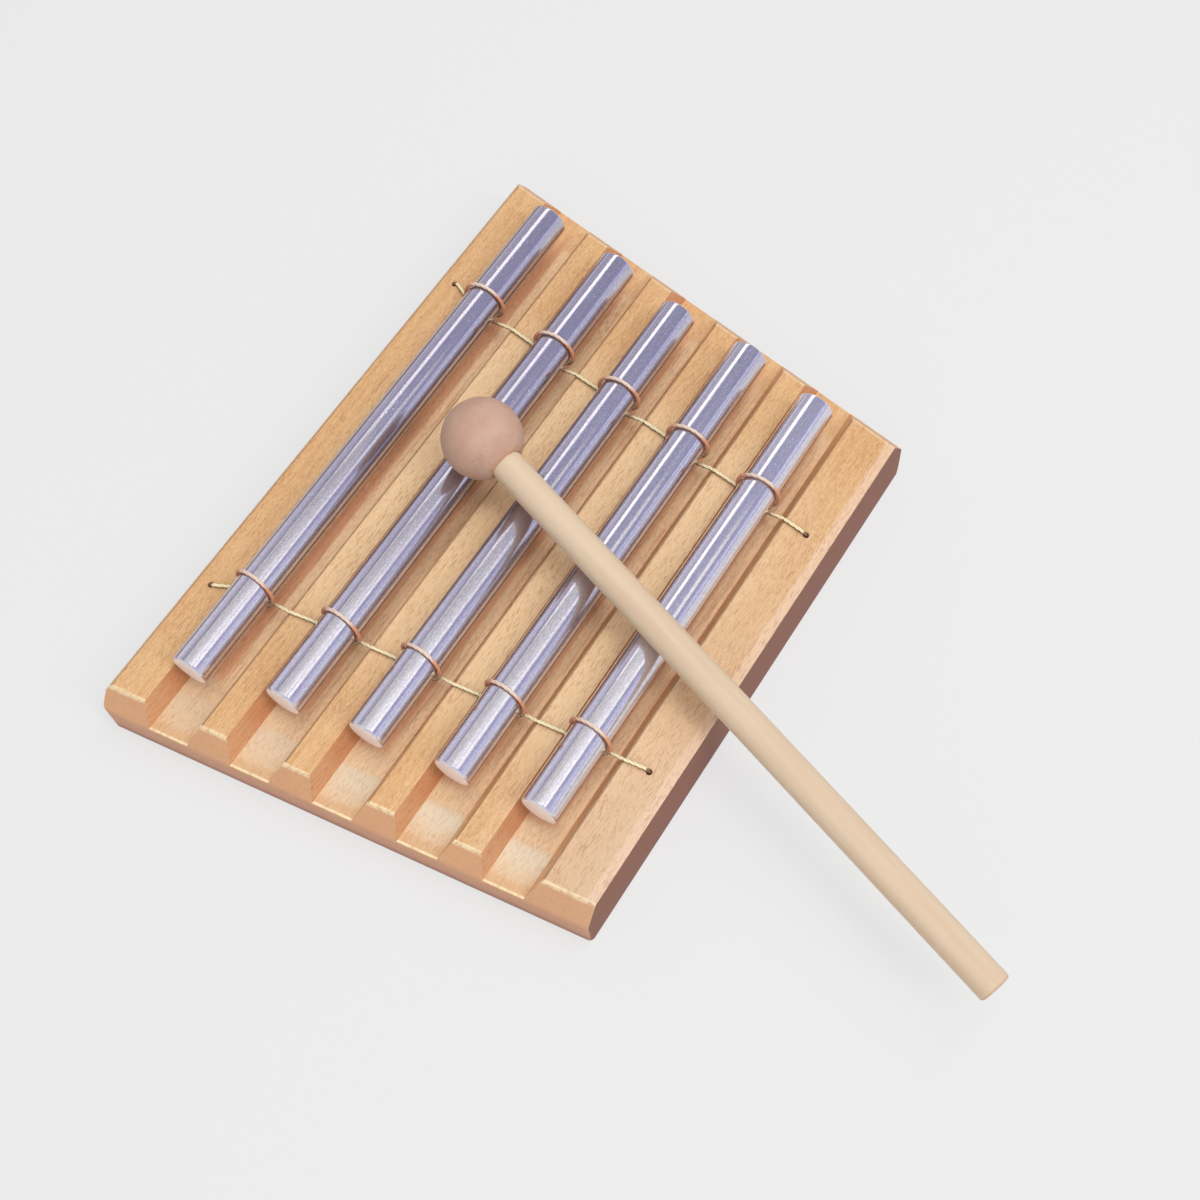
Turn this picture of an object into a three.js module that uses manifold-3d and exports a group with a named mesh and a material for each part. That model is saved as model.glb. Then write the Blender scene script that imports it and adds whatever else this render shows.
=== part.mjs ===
// Meditation chime: five tuned metal rods slung on two cords over a grooved, tapered wooden board, with
// a ball-headed mallet lying across them. Millimetres, +Z up. The origin is the middle of the board's
// underside: X runs across the rods, from the longest to the shortest, and Y runs along them to the back.
import * as THREE from 'three';
import { mergeVertices } from 'three/addons/utils/BufferGeometryUtils.js';
import Module from 'manifold-3d';

const wasm = await Module();
wasm.setup();

// Driving dimensions of the rods: round bar, each cut to sound one note of a scale.
const ROD_DIAMETER = 12;
const LONGEST_ROD = 188;
const ROD_END_CHAMFER = 0.5;
// A rod's lowest line lies this far below the top of the board.
const ROD_SINK = 0.65;
// Each rod's note in semitones above the longest rod, and how far it has settled off the groove's middle.
const RODS = [
  { semitones: 0, across: -1.9, along: 2.8 },
  { semitones: 2, across: -0.2, along: 4.4 },
  { semitones: 4, across: -1.0, along: 3.9 },
  { semitones: 5, across: -1.1, along: 5.4 },
  { semitones: 7, across: -1.3, along: 4.7 },
];

// Driving dimensions of the board.
const BOARD_THICKNESS = 21;
const LEFT_LAND = 12.7;
const RIGHT_LAND = 17.8;
const RIDGE_WIDTH = 8.5;
const GROOVE_SIDE_ROOM = 3.2;
const GROOVE_DEPTH = 8;
const GROOVE_WALL_RUN = 2.85;
// From the ends of the first and last rods to the upper edges of the board's ends.
const LONG_END_MARGIN = 9.1;
const SHORT_END_MARGIN = 11.2;
const END_BEVEL_RUN = 5.4;
const LEFT_CHAMFER = 1.6;
// The right side leans in by this much, from the top of its upright foot to the top of the board.
const RIGHT_LEAN = 1.6;
const RIGHT_FOOT = 1.5;
const CORNER_RADIUS = 1.5;

// Driving dimensions of the cords and of the holes and pockets that hold their ends.
const CORD_DIAMETER = 1.2;
const CORD_HOLE_ROOM = 0.55;
const STRAND_GAP = 0.85;
const LEFT_HOLE_INSET = 5.65;
const RIGHT_HOLE_INSET = 9.65;
// From the ends of the first and last rods to the slings' lines.
const LONG_SLING_INSET = 34.7;
const SHORT_SLING_INSET = 30.8;
// How far to the back the slings' shared middle lies at the left and right holes.
const LEFT_SLING_SHIFT = -1.3;
const RIGHT_SLING_SHIFT = -0.2;
// How much further from that middle than the slings' lines the holes lie.
const LEFT_HOLE_SPREAD = 2.2;
const RIGHT_HOLE_SPREAD = 0.3;
// How far each loop has slid to the back over the top of its rod.
const LOOP_SLIDE = 1.5;
const KNOT_TURNS = 2;
const KNOT_TUCK = 1;
const KNOT_ROOM = 0.55;
const KNOT_RECESS = 1;

// Driving dimensions of the mallet and of how it lies: head against one rod, handle across the last.
const HEAD_DIAMETER = 24.5;
const HEAD_BORE_DEPTH = 13.25;
const HANDLE_DIAMETER = 10;
const HANDLE_LENGTH = 211;
const HANDLE_EASING = 1;
const HEAD_ROD = 1;
const HANDLE_ROD = RODS.length - 1;
const HEAD_ALONG = 9.7;
const HEAD_LEAN = THREE.MathUtils.degToRad(19.8);
const MALLET_YAW = THREE.MathUtils.degToRad(-15.96);

// Pieces that touch on the real object keep this gap. Cutters reach past what they cut by the margin.
const TOUCH_GAP = 0.3;
const CUT_MARGIN = 2;

// Facet counts.
const ROD_SIDES = 32;
const HEAD_SIDES = 32;
const HEAD_RINGS = 14;
const HANDLE_SIDES = 28;
const EASING_STEPS = 4;
const CORD_SIDES = 6;
const LOOP_STEPS = 24;
const BEND_STEPS = 4;
const CORNER_STEPS = 6;
const HOLE_SIDES = 16;
const POCKET_SIDES = 24;
const GAP_SAMPLE = 0.5;

// Sizes that follow from the driving dimensions.
const rodRadius = ROD_DIAMETER / 2;
const cordRadius = CORD_DIAMETER / 2;
const headRadius = HEAD_DIAMETER / 2;
const handleRadius = HANDLE_DIAMETER / 2;
const grooveWidth = ROD_DIAMETER + 2 * GROOVE_SIDE_ROOM;
const groovePitch = grooveWidth + RIDGE_WIDTH;
const boardWidth = LEFT_LAND + (RODS.length - 1) * groovePitch + grooveWidth + RIGHT_LAND;
const boardLeft = -boardWidth / 2;
const boardRight = boardWidth / 2;
const floorHeight = BOARD_THICKNESS - GROOVE_DEPTH;
const rodHeight = BOARD_THICKNESS - ROD_SINK + rodRadius;
const strandHeight = BOARD_THICKNESS + TOUCH_GAP + cordRadius;
const wrapRadius = rodRadius + TOUCH_GAP + cordRadius;
const cordHoleRadius = cordRadius + CORD_HOLE_ROOM;
// The cord holes: where they lie in X, their spread, and the way along X that the cord takes from them.
const leftHole = { x: boardLeft + LEFT_HOLE_INSET, spread: LEFT_HOLE_SPREAD, ahead: 1 };
const rightHole = { x: boardRight - RIGHT_HOLE_INSET, spread: RIGHT_HOLE_SPREAD, ahead: -1 };
const strandPitch = CORD_DIAMETER + STRAND_GAP;
const knotTop = KNOT_RECESS + cordRadius + KNOT_TUCK + KNOT_TURNS * strandPitch;
// The tail runs on straight for one diameter, at the slope of the knot's turns.
const tailRise = CORD_DIAMETER / (2 * Math.PI);
const pocketDepth = knotTop + tailRise + cordRadius + TOUCH_GAP;
const pocketRadius = Math.hypot(strandPitch, CORD_DIAMETER) + cordRadius + KNOT_ROOM;

// A free bar's pitch goes with one over its length squared, so a semitone shortens it by 2^(1/24).
const rods = RODS.map(({ semitones, across, along }, index) => {
  const grooveX = boardLeft + LEFT_LAND + grooveWidth / 2 + index * groovePitch;
  return {
    name: `chime_rod_${index + 1}`,
    length: LONGEST_ROD * 2 ** (-semitones / 24),
    grooveX,
    x: grooveX + across,
    y: along,
  };
});
const firstRod = rods[0];
const lastRod = rods[rods.length - 1];

/** A straight line over X through a height at the first groove and one at the last. */
function lineOverGrooves(atFirst, atLast) {
  const slope = (atLast - atFirst) / (lastRod.grooveX - firstRod.grooveX);
  return { slope, at: (x) => atFirst + slope * (x - firstRod.grooveX) };
}

// Half the distance between the upper edges of the board's ends, and between the two slings.
const halfLength = lineOverGrooves(
  firstRod.length / 2 + LONG_END_MARGIN,
  lastRod.length / 2 + SHORT_END_MARGIN,
);
const halfSling = lineOverGrooves(
  firstRod.length / 2 - LONG_SLING_INSET,
  lastRod.length / 2 - SHORT_SLING_INSET,
);
const endAngle = Math.atan(halfLength.slope);

/** A three.js geometry as a solid that can be joined and cut. */
function solidOf(geometry) {
  const bare = geometry.clone();
  bare.deleteAttribute('normal');
  bare.deleteAttribute('uv');
  const merged = mergeVertices(bare);
  return new wasm.Manifold(new wasm.Mesh({
    numProp: 3,
    vertProperties: Float32Array.from(merged.attributes.position.array),
    triVerts: Uint32Array.from(merged.index.array),
  }));
}

/** A cut solid as a three.js geometry. */
function geometryOf(solid) {
  const mesh = solid.getMesh();
  const geometry = new THREE.BufferGeometry();
  geometry.setAttribute('position', new THREE.BufferAttribute(mesh.vertProperties, 3));
  geometry.setIndex(new THREE.BufferAttribute(mesh.triVerts, 1));
  geometry.computeVertexNormals();
  return geometry;
}

/** A closed outline of [x, y] points, extruded along its own Z from 0 to depth. */
function prism(outline, depth) {
  const shape = new THREE.Shape(outline.map(([x, y]) => new THREE.Vector2(x, y)));
  return new THREE.ExtrudeGeometry(shape, { depth, bevelEnabled: false, steps: 1 });
}

/** A round bar along Z, from bottom to top, about the line at x, y. */
function pin(radius, bottom, top, x, y, sides) {
  return new THREE.CylinderGeometry(radius, radius, top - bottom, sides)
    .rotateX(Math.PI / 2)
    .translate(x, y, (bottom + top) / 2);
}

/** The corners of the board's underside, anticlockwise from front left. */
function boardCorners() {
  const runAlongY = END_BEVEL_RUN / Math.cos(endAngle);
  const leftHalf = halfLength.at(boardLeft) + runAlongY;
  const rightHalf = halfLength.at(boardRight) + runAlongY;
  return [
    new THREE.Vector2(boardLeft, -leftHalf),
    new THREE.Vector2(boardRight, -rightHalf),
    new THREE.Vector2(boardRight, rightHalf),
    new THREE.Vector2(boardLeft, leftHalf),
  ];
}

/** The arc that rounds one corner of an outline, between its two neighbours. */
function roundedCorner(before, corner, after) {
  const toBefore = before.clone().sub(corner).normalize();
  const toAfter = after.clone().sub(corner).normalize();
  const halfAngle = toBefore.angleTo(toAfter) / 2;
  const middle = toBefore.clone().add(toAfter).normalize();
  const centre = corner.clone().addScaledVector(middle, CORNER_RADIUS / Math.sin(halfAngle));
  const reach = CORNER_RADIUS / Math.tan(halfAngle);
  const start = corner.clone().addScaledVector(toBefore, reach).sub(centre);
  const sweep = Math.PI - 2 * halfAngle;
  return Array.from({ length: CORNER_STEPS + 1 }, (_, step) => {
    const spoke = start.clone().rotateAround(new THREE.Vector2(), (sweep * step) / CORNER_STEPS);
    return [centre.x + spoke.x, centre.y + spoke.y];
  });
}

/** A wedge that bevels an upper edge of the board: run outwards, drop downwards, along a line in plan. */
function edgeWedge(run, drop, length, outwardAngle, x, y) {
  const outline = [
    [-run, drop],
    [2 * run, -2 * drop],
    [2 * run, drop],
  ];
  return prism(outline, length)
    .translate(0, 0, -length / 2)
    .rotateX(Math.PI / 2)
    .rotateZ(outwardAngle)
    .translate(x, y, BOARD_THICKNESS);
}

/** The cutter of one groove, right through the board along Y. */
function grooveCutter(x) {
  const upperHalf = grooveWidth / 2;
  const floorHalf = upperHalf - GROOVE_WALL_RUN;
  const flare = (GROOVE_WALL_RUN / GROOVE_DEPTH) * CUT_MARGIN;
  const top = BOARD_THICKNESS + CUT_MARGIN;
  const reach = 2 * (halfLength.at(boardLeft) + END_BEVEL_RUN + CUT_MARGIN);
  const outline = [
    [-floorHalf, floorHeight],
    [floorHalf, floorHeight],
    [upperHalf + flare, top],
    [-upperHalf - flare, top],
  ];
  return prism(outline, reach).rotateX(Math.PI / 2).translate(x, reach / 2, 0);
}

/** The board: a tapered blank with bevelled ends, eased sides, grooves, cord holes and knot pockets. */
function boardGeometry() {
  const corners = boardCorners();
  const outline = corners.flatMap((corner, index) => roundedCorner(
    corners.at(index - 1),
    corner,
    corners[(index + 1) % corners.length],
  ));
  const length = 2 * (boardWidth + halfLength.at(boardLeft));
  const quarter = Math.PI / 2;
  const cutters = [
    edgeWedge(END_BEVEL_RUN, GROOVE_DEPTH, length, quarter + endAngle, 0, halfLength.at(0)),
    edgeWedge(END_BEVEL_RUN, GROOVE_DEPTH, length, -quarter - endAngle, 0, -halfLength.at(0)),
    edgeWedge(RIGHT_LEAN, BOARD_THICKNESS - RIGHT_FOOT, length, 0, boardRight - RIGHT_LEAN, 0),
    edgeWedge(LEFT_CHAMFER, LEFT_CHAMFER, length, Math.PI, boardLeft + LEFT_CHAMFER, 0),
    ...rods.map(({ grooveX }) => grooveCutter(grooveX)),
  ];
  for (const side of [-1, 1]) {
    for (const hole of [leftHole, rightHole]) {
      const y = holeY(hole, side);
      cutters.push(pin(cordHoleRadius, -CUT_MARGIN, BOARD_THICKNESS + CUT_MARGIN, hole.x, y, HOLE_SIDES));
      cutters.push(pin(pocketRadius, -CUT_MARGIN, pocketDepth, hole.x, y, POCKET_SIDES));
    }
  }
  const blank = solidOf(prism(outline, BOARD_THICKNESS));
  return geometryOf(cutters.reduce((solid, cutter) => solid.subtract(solidOf(cutter)), blank));
}

/** A rod along Y, with small chamfers at its sawn ends. */
function rodGeometry(length) {
  const half = length / 2;
  const profile = [
    [0, -half],
    [rodRadius - ROD_END_CHAMFER, -half],
    [rodRadius, -half + ROD_END_CHAMFER],
    [rodRadius, half - ROD_END_CHAMFER],
    [rodRadius - ROD_END_CHAMFER, half],
    [0, half],
  ];
  return new THREE.LatheGeometry(profile.map(([r, y]) => new THREE.Vector2(r, y)), ROD_SIDES);
}

/** Where a sling's line crosses a given X: side is -1 for the front sling and 1 for the back one. */
function slingY(x, side) {
  const share = (x - leftHole.x) / (rightHole.x - leftHole.x);
  const middle = THREE.MathUtils.lerp(LEFT_SLING_SHIFT, RIGHT_SLING_SHIFT, share);
  return middle + side * halfSling.at(x);
}

/** Where a sling's hole lies along Y. */
function holeY({ x, spread }, side) {
  return slingY(x, side) + side * spread;
}

/** The stopper knot in a pocket: the tail winds down round the cord, tucks in and turns up the middle. */
function knotRoute(x, y) {
  const place = (radius, angle, z) => new THREE.Vector3(
    x + radius * Math.cos(angle),
    y + radius * Math.sin(angle),
    z,
  );
  const knotBottom = knotTop - KNOT_TURNS * strandPitch;
  const tail = new THREE.Vector3(x + strandPitch, y - CORD_DIAMETER, knotTop + tailRise);
  const points = [tail];
  for (let step = 0; step <= KNOT_TURNS * LOOP_STEPS; step += 1) {
    const turn = step / LOOP_STEPS;
    points.push(place(strandPitch, 2 * Math.PI * turn, knotTop - strandPitch * turn));
  }
  const tuckSteps = LOOP_STEPS / 2;
  for (let step = 1; step <= tuckSteps; step += 1) {
    const share = step / tuckSteps;
    const angle = 2 * Math.PI * KNOT_TURNS + Math.PI * share;
    const z = knotBottom - KNOT_TUCK * Math.sin(Math.PI * share);
    points.push(place(strandPitch * Math.cos((Math.PI / 2) * share), angle, z));
  }
  points.push(new THREE.Vector3(x, y, knotBottom + CORD_DIAMETER));
  return points;
}

/** The cord's end from its knot, up its hole and round the mouth on to the board. */
function endRoute(hole, side) {
  const { x, ahead } = hole;
  const y = holeY(hole, side);
  const points = knotRoute(x, y);
  for (let step = 0; step <= BEND_STEPS; step += 1) {
    const angle = ((Math.PI / 2) * step) / BEND_STEPS;
    points.push(new THREE.Vector3(
      x + ahead * cordHoleRadius * (1 - Math.cos(angle)),
      y,
      strandHeight - cordHoleRadius * (1 - Math.sin(angle)),
    ));
  }
  return points;
}

/** One rod's loop: in over the groove's left edge, once round under the rod, and out over the right edge. */
function loopRoute(rod, side) {
  const leftEdge = rod.grooveX - grooveWidth / 2;
  const rightEdge = rod.grooveX + grooveWidth / 2;
  const fall = strandHeight - rodHeight;
  const tangentAngle = (edge, sense) => {
    const run = edge - rod.x;
    return Math.atan2(fall, run) + sense * Math.acos(wrapRadius / Math.hypot(run, fall));
  };
  const fullTurn = 2 * Math.PI;
  const start = tangentAngle(leftEdge, 1);
  const end = tangentAngle(rightEdge, -1) + fullTurn;
  const lap = (strandPitch * (end - start)) / fullTurn;
  const slideAt = (share) => LOOP_SLIDE * Math.sin(Math.PI * share) ** 2;
  const yAt = (share) => slingY(rod.x, side) - side * lap * (share - 0.5) + slideAt(share);
  const steps = Math.ceil((LOOP_STEPS * (end - start)) / fullTurn);
  const points = [new THREE.Vector3(leftEdge, yAt(0), strandHeight)];
  for (let step = 0; step <= steps; step += 1) {
    const share = step / steps;
    const angle = start + (end - start) * share;
    points.push(new THREE.Vector3(
      rod.x + wrapRadius * Math.cos(angle),
      yAt(share),
      rodHeight + wrapRadius * Math.sin(angle),
    ));
  }
  points.push(new THREE.Vector3(rightEdge, yAt(1), strandHeight));
  return points;
}

/** A whole sling from knot to knot: side is -1 for the front one and 1 for the back one. */
function slingRoute(side) {
  return [
    ...endRoute(leftHole, side),
    ...rods.flatMap((rod) => loopRoute(rod, side)),
    ...endRoute(rightHole, side).reverse(),
  ];
}

/** A closed tube along points: its rings turn with the route as little as they can. */
function tubeGeometry(points, radius) {
  const last = points.length - 1;
  const positions = [];
  const index = [];
  const aside = new THREE.Vector3(0, 0, 1);
  points.forEach((point, row) => {
    const tangent = new THREE.Vector3()
      .subVectors(points[Math.min(row + 1, last)], points[Math.max(row - 1, 0)])
      .normalize();
    aside.addScaledVector(tangent, -aside.dot(tangent)).normalize();
    const across = new THREE.Vector3().crossVectors(tangent, aside);
    for (let side = 0; side < CORD_SIDES; side += 1) {
      const angle = (2 * Math.PI * side) / CORD_SIDES;
      const vertex = point.clone()
        .addScaledVector(aside, radius * Math.cos(angle))
        .addScaledVector(across, radius * Math.sin(angle));
      positions.push(vertex.x, vertex.y, vertex.z);
    }
  });
  for (let row = 0; row < last; row += 1) {
    for (let side = 0; side < CORD_SIDES; side += 1) {
      const here = row * CORD_SIDES + side;
      const beside = row * CORD_SIDES + ((side + 1) % CORD_SIDES);
      index.push(here, beside, here + CORD_SIDES);
      index.push(beside, beside + CORD_SIDES, here + CORD_SIDES);
    }
  }
  const end = last * CORD_SIDES;
  for (let side = 1; side < CORD_SIDES - 1; side += 1) {
    index.push(0, side + 1, side);
    index.push(end, end + side, end + side + 1);
  }
  const geometry = new THREE.BufferGeometry();
  geometry.setAttribute('position', new THREE.Float32BufferAttribute(positions, 3));
  geometry.setIndex(index);
  geometry.computeVertexNormals();
  return geometry;
}

/** A route as evenly spaced samples, each with its distance along the route. */
function samplesAlong(points) {
  const samples = [];
  let travelled = 0;
  for (let row = 1; row < points.length; row += 1) {
    const length = points[row].distanceTo(points[row - 1]);
    const steps = Math.ceil(length / GAP_SAMPLE);
    for (let step = 0; step < steps; step += 1) {
      const share = step / steps;
      samples.push({
        point: new THREE.Vector3().lerpVectors(points[row - 1], points[row], share),
        along: travelled + length * share,
      });
    }
    travelled += length;
  }
  return { samples, length: travelled };
}

/** Prints a cord's length and the least gap between its turns. */
function reportCord(name, points) {
  const { samples, length } = samplesAlong(points);
  const nearAlong = Math.PI * CORD_DIAMETER;
  let least = Infinity;
  samples.forEach((one, place) => {
    for (const other of samples.slice(place + 1)) {
      if (other.along - one.along > nearAlong) {
        least = Math.min(least, one.point.distanceTo(other.point) - CORD_DIAMETER);
      }
    }
  });
  console.log(`${name}: ${length.toFixed(0)} mm long, least gap to itself ${least.toFixed(2)} mm`);
}

/** The ball head about its centre, with a blind bore that opens along +Y for the handle. */
function headGeometry() {
  const boreRadius = handleRadius + TOUCH_GAP;
  const boreBottom = headRadius - HEAD_BORE_DEPTH;
  const mouthAngle = Math.acos(boreRadius / headRadius);
  const profile = [];
  for (let ring = 0; ring <= HEAD_RINGS; ring += 1) {
    const angle = -Math.PI / 2 + ((mouthAngle + Math.PI / 2) * ring) / HEAD_RINGS;
    profile.push(new THREE.Vector2(headRadius * Math.cos(angle), headRadius * Math.sin(angle)));
  }
  profile[0].x = 0;
  profile.push(new THREE.Vector2(boreRadius, boreBottom), new THREE.Vector2(0, boreBottom));
  return new THREE.LatheGeometry(profile, HEAD_SIDES);
}

/** The handle: a dowel along +Y from the bottom of the head's bore, with an eased butt. */
function handleGeometry() {
  const inner = headRadius - HEAD_BORE_DEPTH + TOUCH_GAP;
  const butt = inner + HANDLE_LENGTH;
  const profile = [new THREE.Vector2(0, inner), new THREE.Vector2(handleRadius, inner)];
  for (let step = 0; step <= EASING_STEPS; step += 1) {
    const angle = ((Math.PI / 2) * step) / EASING_STEPS;
    profile.push(new THREE.Vector2(
      handleRadius - HANDLE_EASING * (1 - Math.cos(angle)),
      butt - HANDLE_EASING * (1 - Math.sin(angle)),
    ));
  }
  profile.push(new THREE.Vector2(0, butt));
  return new THREE.LatheGeometry(profile, HANDLE_SIDES);
}

/** Lays the mallet's group down: its +Y runs from the head, on one rod, to the butt, past the last rod. */
function layMallet(group) {
  const headSeat = rodRadius + headRadius + TOUCH_GAP;
  const handleSeat = rodRadius + handleRadius + TOUCH_GAP;
  group.position.set(
    rods[HEAD_ROD].x + headSeat * Math.sin(HEAD_LEAN),
    HEAD_ALONG,
    rodHeight + headSeat * Math.cos(HEAD_LEAN),
  );
  const rise = group.position.z - rodHeight;
  const run = rods[HANDLE_ROD].x - group.position.x;
  const fallAngle = Math.acos(handleSeat / Math.hypot(rise, run)) - Math.atan2(run, rise);
  const direction = new THREE.Vector3(1, Math.tan(MALLET_YAW), -Math.tan(fallAngle)).normalize();
  group.quaternion.setFromUnitVectors(new THREE.Vector3(0, 1, 0), direction);
}

/** A named piece with its own finish. */
function piece(name, geometry, finish) {
  const mesh = new THREE.Mesh(geometry, new THREE.MeshStandardMaterial(finish));
  mesh.name = name;
  return mesh;
}

const boardWood = { color: 0xd8a066, roughness: 0.55, metalness: 0 };
const rodMetal = { color: 0xc4c6dc, roughness: 0.25, metalness: 1 };
const cordFibre = { color: 0xd9b385, roughness: 0.85, metalness: 0 };
const handleWood = { color: 0xe2cba6, roughness: 0.6, metalness: 0 };
const headWood = { color: 0xd0aa92, roughness: 0.7, metalness: 0 };

const chime = new THREE.Group();
chime.add(piece('base_board', boardGeometry(), boardWood));

for (const rod of rods) {
  const bar = piece(rod.name, rodGeometry(rod.length), rodMetal);
  bar.position.set(rod.x, rod.y, rodHeight);
  chime.add(bar);
}

for (const [name, side] of [['front_cord', -1], ['back_cord', 1]]) {
  const route = slingRoute(side);
  reportCord(name, route);
  chime.add(piece(name, tubeGeometry(route, cordRadius), cordFibre));
}

const mallet = new THREE.Group();
mallet.add(piece('mallet_head', headGeometry(), headWood));
mallet.add(piece('mallet_handle', handleGeometry(), handleWood));
layMallet(mallet);
chime.add(mallet);

export default chime;
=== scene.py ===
"""Looks of a tabletop meditation chime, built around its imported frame.

Five drawn metal rods hang in two twisted slings over a grooved, tapered beech board, and a ball-headed
mallet lies across them. Everything is in metres, in the frame's own axes: X runs across the rods, from
the longest to the shortest, Y runs along them to the back, and Z points up out of the board.
"""

import logging
import math
from dataclasses import dataclass
from enum import Enum
from typing import Iterable, Optional, Sequence, Union

import bmesh
import bpy
from mathutils import Matrix, Vector


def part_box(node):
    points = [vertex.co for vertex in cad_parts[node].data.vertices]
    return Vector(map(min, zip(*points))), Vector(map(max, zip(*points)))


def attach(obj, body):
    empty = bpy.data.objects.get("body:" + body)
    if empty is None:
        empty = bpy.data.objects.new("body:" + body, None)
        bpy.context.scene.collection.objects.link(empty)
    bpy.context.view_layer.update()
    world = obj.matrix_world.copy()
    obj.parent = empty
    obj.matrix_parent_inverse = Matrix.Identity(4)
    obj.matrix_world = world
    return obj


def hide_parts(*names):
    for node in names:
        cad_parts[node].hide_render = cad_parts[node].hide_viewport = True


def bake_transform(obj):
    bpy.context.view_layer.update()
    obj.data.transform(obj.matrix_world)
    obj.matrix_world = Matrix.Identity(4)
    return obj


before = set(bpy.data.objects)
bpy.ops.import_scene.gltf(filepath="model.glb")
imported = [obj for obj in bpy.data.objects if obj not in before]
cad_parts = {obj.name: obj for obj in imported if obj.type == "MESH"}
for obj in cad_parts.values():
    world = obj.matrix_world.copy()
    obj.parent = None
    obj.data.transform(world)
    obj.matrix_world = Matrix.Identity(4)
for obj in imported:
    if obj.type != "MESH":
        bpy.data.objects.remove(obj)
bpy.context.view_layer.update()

LOG = logging.getLogger("chime")
MM = 0.001
FULL_TURN = 2 * math.pi
QUARTER_TURN = math.pi / 2
UP = Vector((0, 0, 1))
ROD_COUNT = 5
WELD = 0.002 * MM
ALL_SMOOTH = math.pi

Colour = tuple[float, float, float, float]


def tint(red: int, green: int, blue: int) -> Colour:
    """Turns a screen colour into the linear colour that the shaders use.

    Args:
        red: Screen red, 0 to 255.
        green: Screen green, 0 to 255.
        blue: Screen blue, 0 to 255.

    Returns:
        Linear red, green, blue and an alpha of 1.
    """
    def linear(level: int) -> float:
        """One channel without the screen's curve."""
        share = level / 255
        return share / 12.92 if share <= 0.04045 else ((share + 0.055) / 1.055) ** 2.4

    return (linear(red), linear(green), linear(blue), 1.0)


class Side(Enum):
    """One of the two slings: its value is its sign along Y."""

    FRONT = -1
    BACK = 1


class Holder(Enum):
    """What a stretch of a sling moves with."""

    BOARD = "board"
    LINK = "link"
    ROD = "rod"


class Term:
    """A number that varies over a surface: arithmetic on it adds Math nodes."""

    def __init__(self, graph: "Graph", socket: bpy.types.NodeSocket) -> None:
        """Wraps a socket of a node tree."""
        self.graph = graph
        self.socket = socket

    def _math(self, operation: str, *operands: "Operand") -> "Term":
        """Adds one Math node.

        Args:
            operation: The Math node's operation.
            operands: Terms or plain numbers, in the order of the node's sockets.

        Returns:
            The node's result.
        """
        node = self.graph.node("ShaderNodeMath", {"operation": operation}, dict(enumerate(operands)))
        return Term(self.graph, node.outputs[0])

    def __add__(self, other: "Operand") -> "Term":
        """This plus other."""
        return self._math("ADD", self, other)

    def __radd__(self, other: "Operand") -> "Term":
        """Other plus this."""
        return self._math("ADD", other, self)

    def __sub__(self, other: "Operand") -> "Term":
        """This minus other."""
        return self._math("SUBTRACT", self, other)

    def __rsub__(self, other: "Operand") -> "Term":
        """Other minus this."""
        return self._math("SUBTRACT", other, self)

    def __mul__(self, other: "Operand") -> "Term":
        """This times other."""
        return self._math("MULTIPLY", self, other)

    def __rmul__(self, other: "Operand") -> "Term":
        """Other times this."""
        return self._math("MULTIPLY", other, self)

    def __abs__(self) -> "Term":
        """This without its sign."""
        return self._math("ABSOLUTE", self)

    def wrap(self, low: float, high: float) -> "Term":
        """Repeats the span from low to high over and over."""
        return self._math("WRAP", self, high, low)

    def rise(self, low: float, high: float) -> "Term":
        """A smooth step of this term, which may also fall.

        Args:
            low: Where the step is 0.
            high: Where the step is 1: below low, the step falls.

        Returns:
            A term from 0 to 1.
        """
        flipped = low > high
        node = self.graph.node(
            "ShaderNodeMapRange",
            {"interpolation_type": "SMOOTHSTEP", "clamp": True},
            {
                "Value": self,
                "From Min": min(low, high),
                "From Max": max(low, high),
                "To Min": 1.0 if flipped else 0.0,
                "To Max": 0.0 if flipped else 1.0,
            },
        )
        return Term(self.graph, node.outputs[0])

    def band(self, start: float, full: float, fading: float, end: float) -> "Term":
        """A smooth band of this term: it rises from start to full and falls from fading to end."""
        return self.rise(start, full) * self.rise(end, fading)


Operand = Union[Term, float]
Shade = Union[Colour, bpy.types.NodeSocket]


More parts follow.
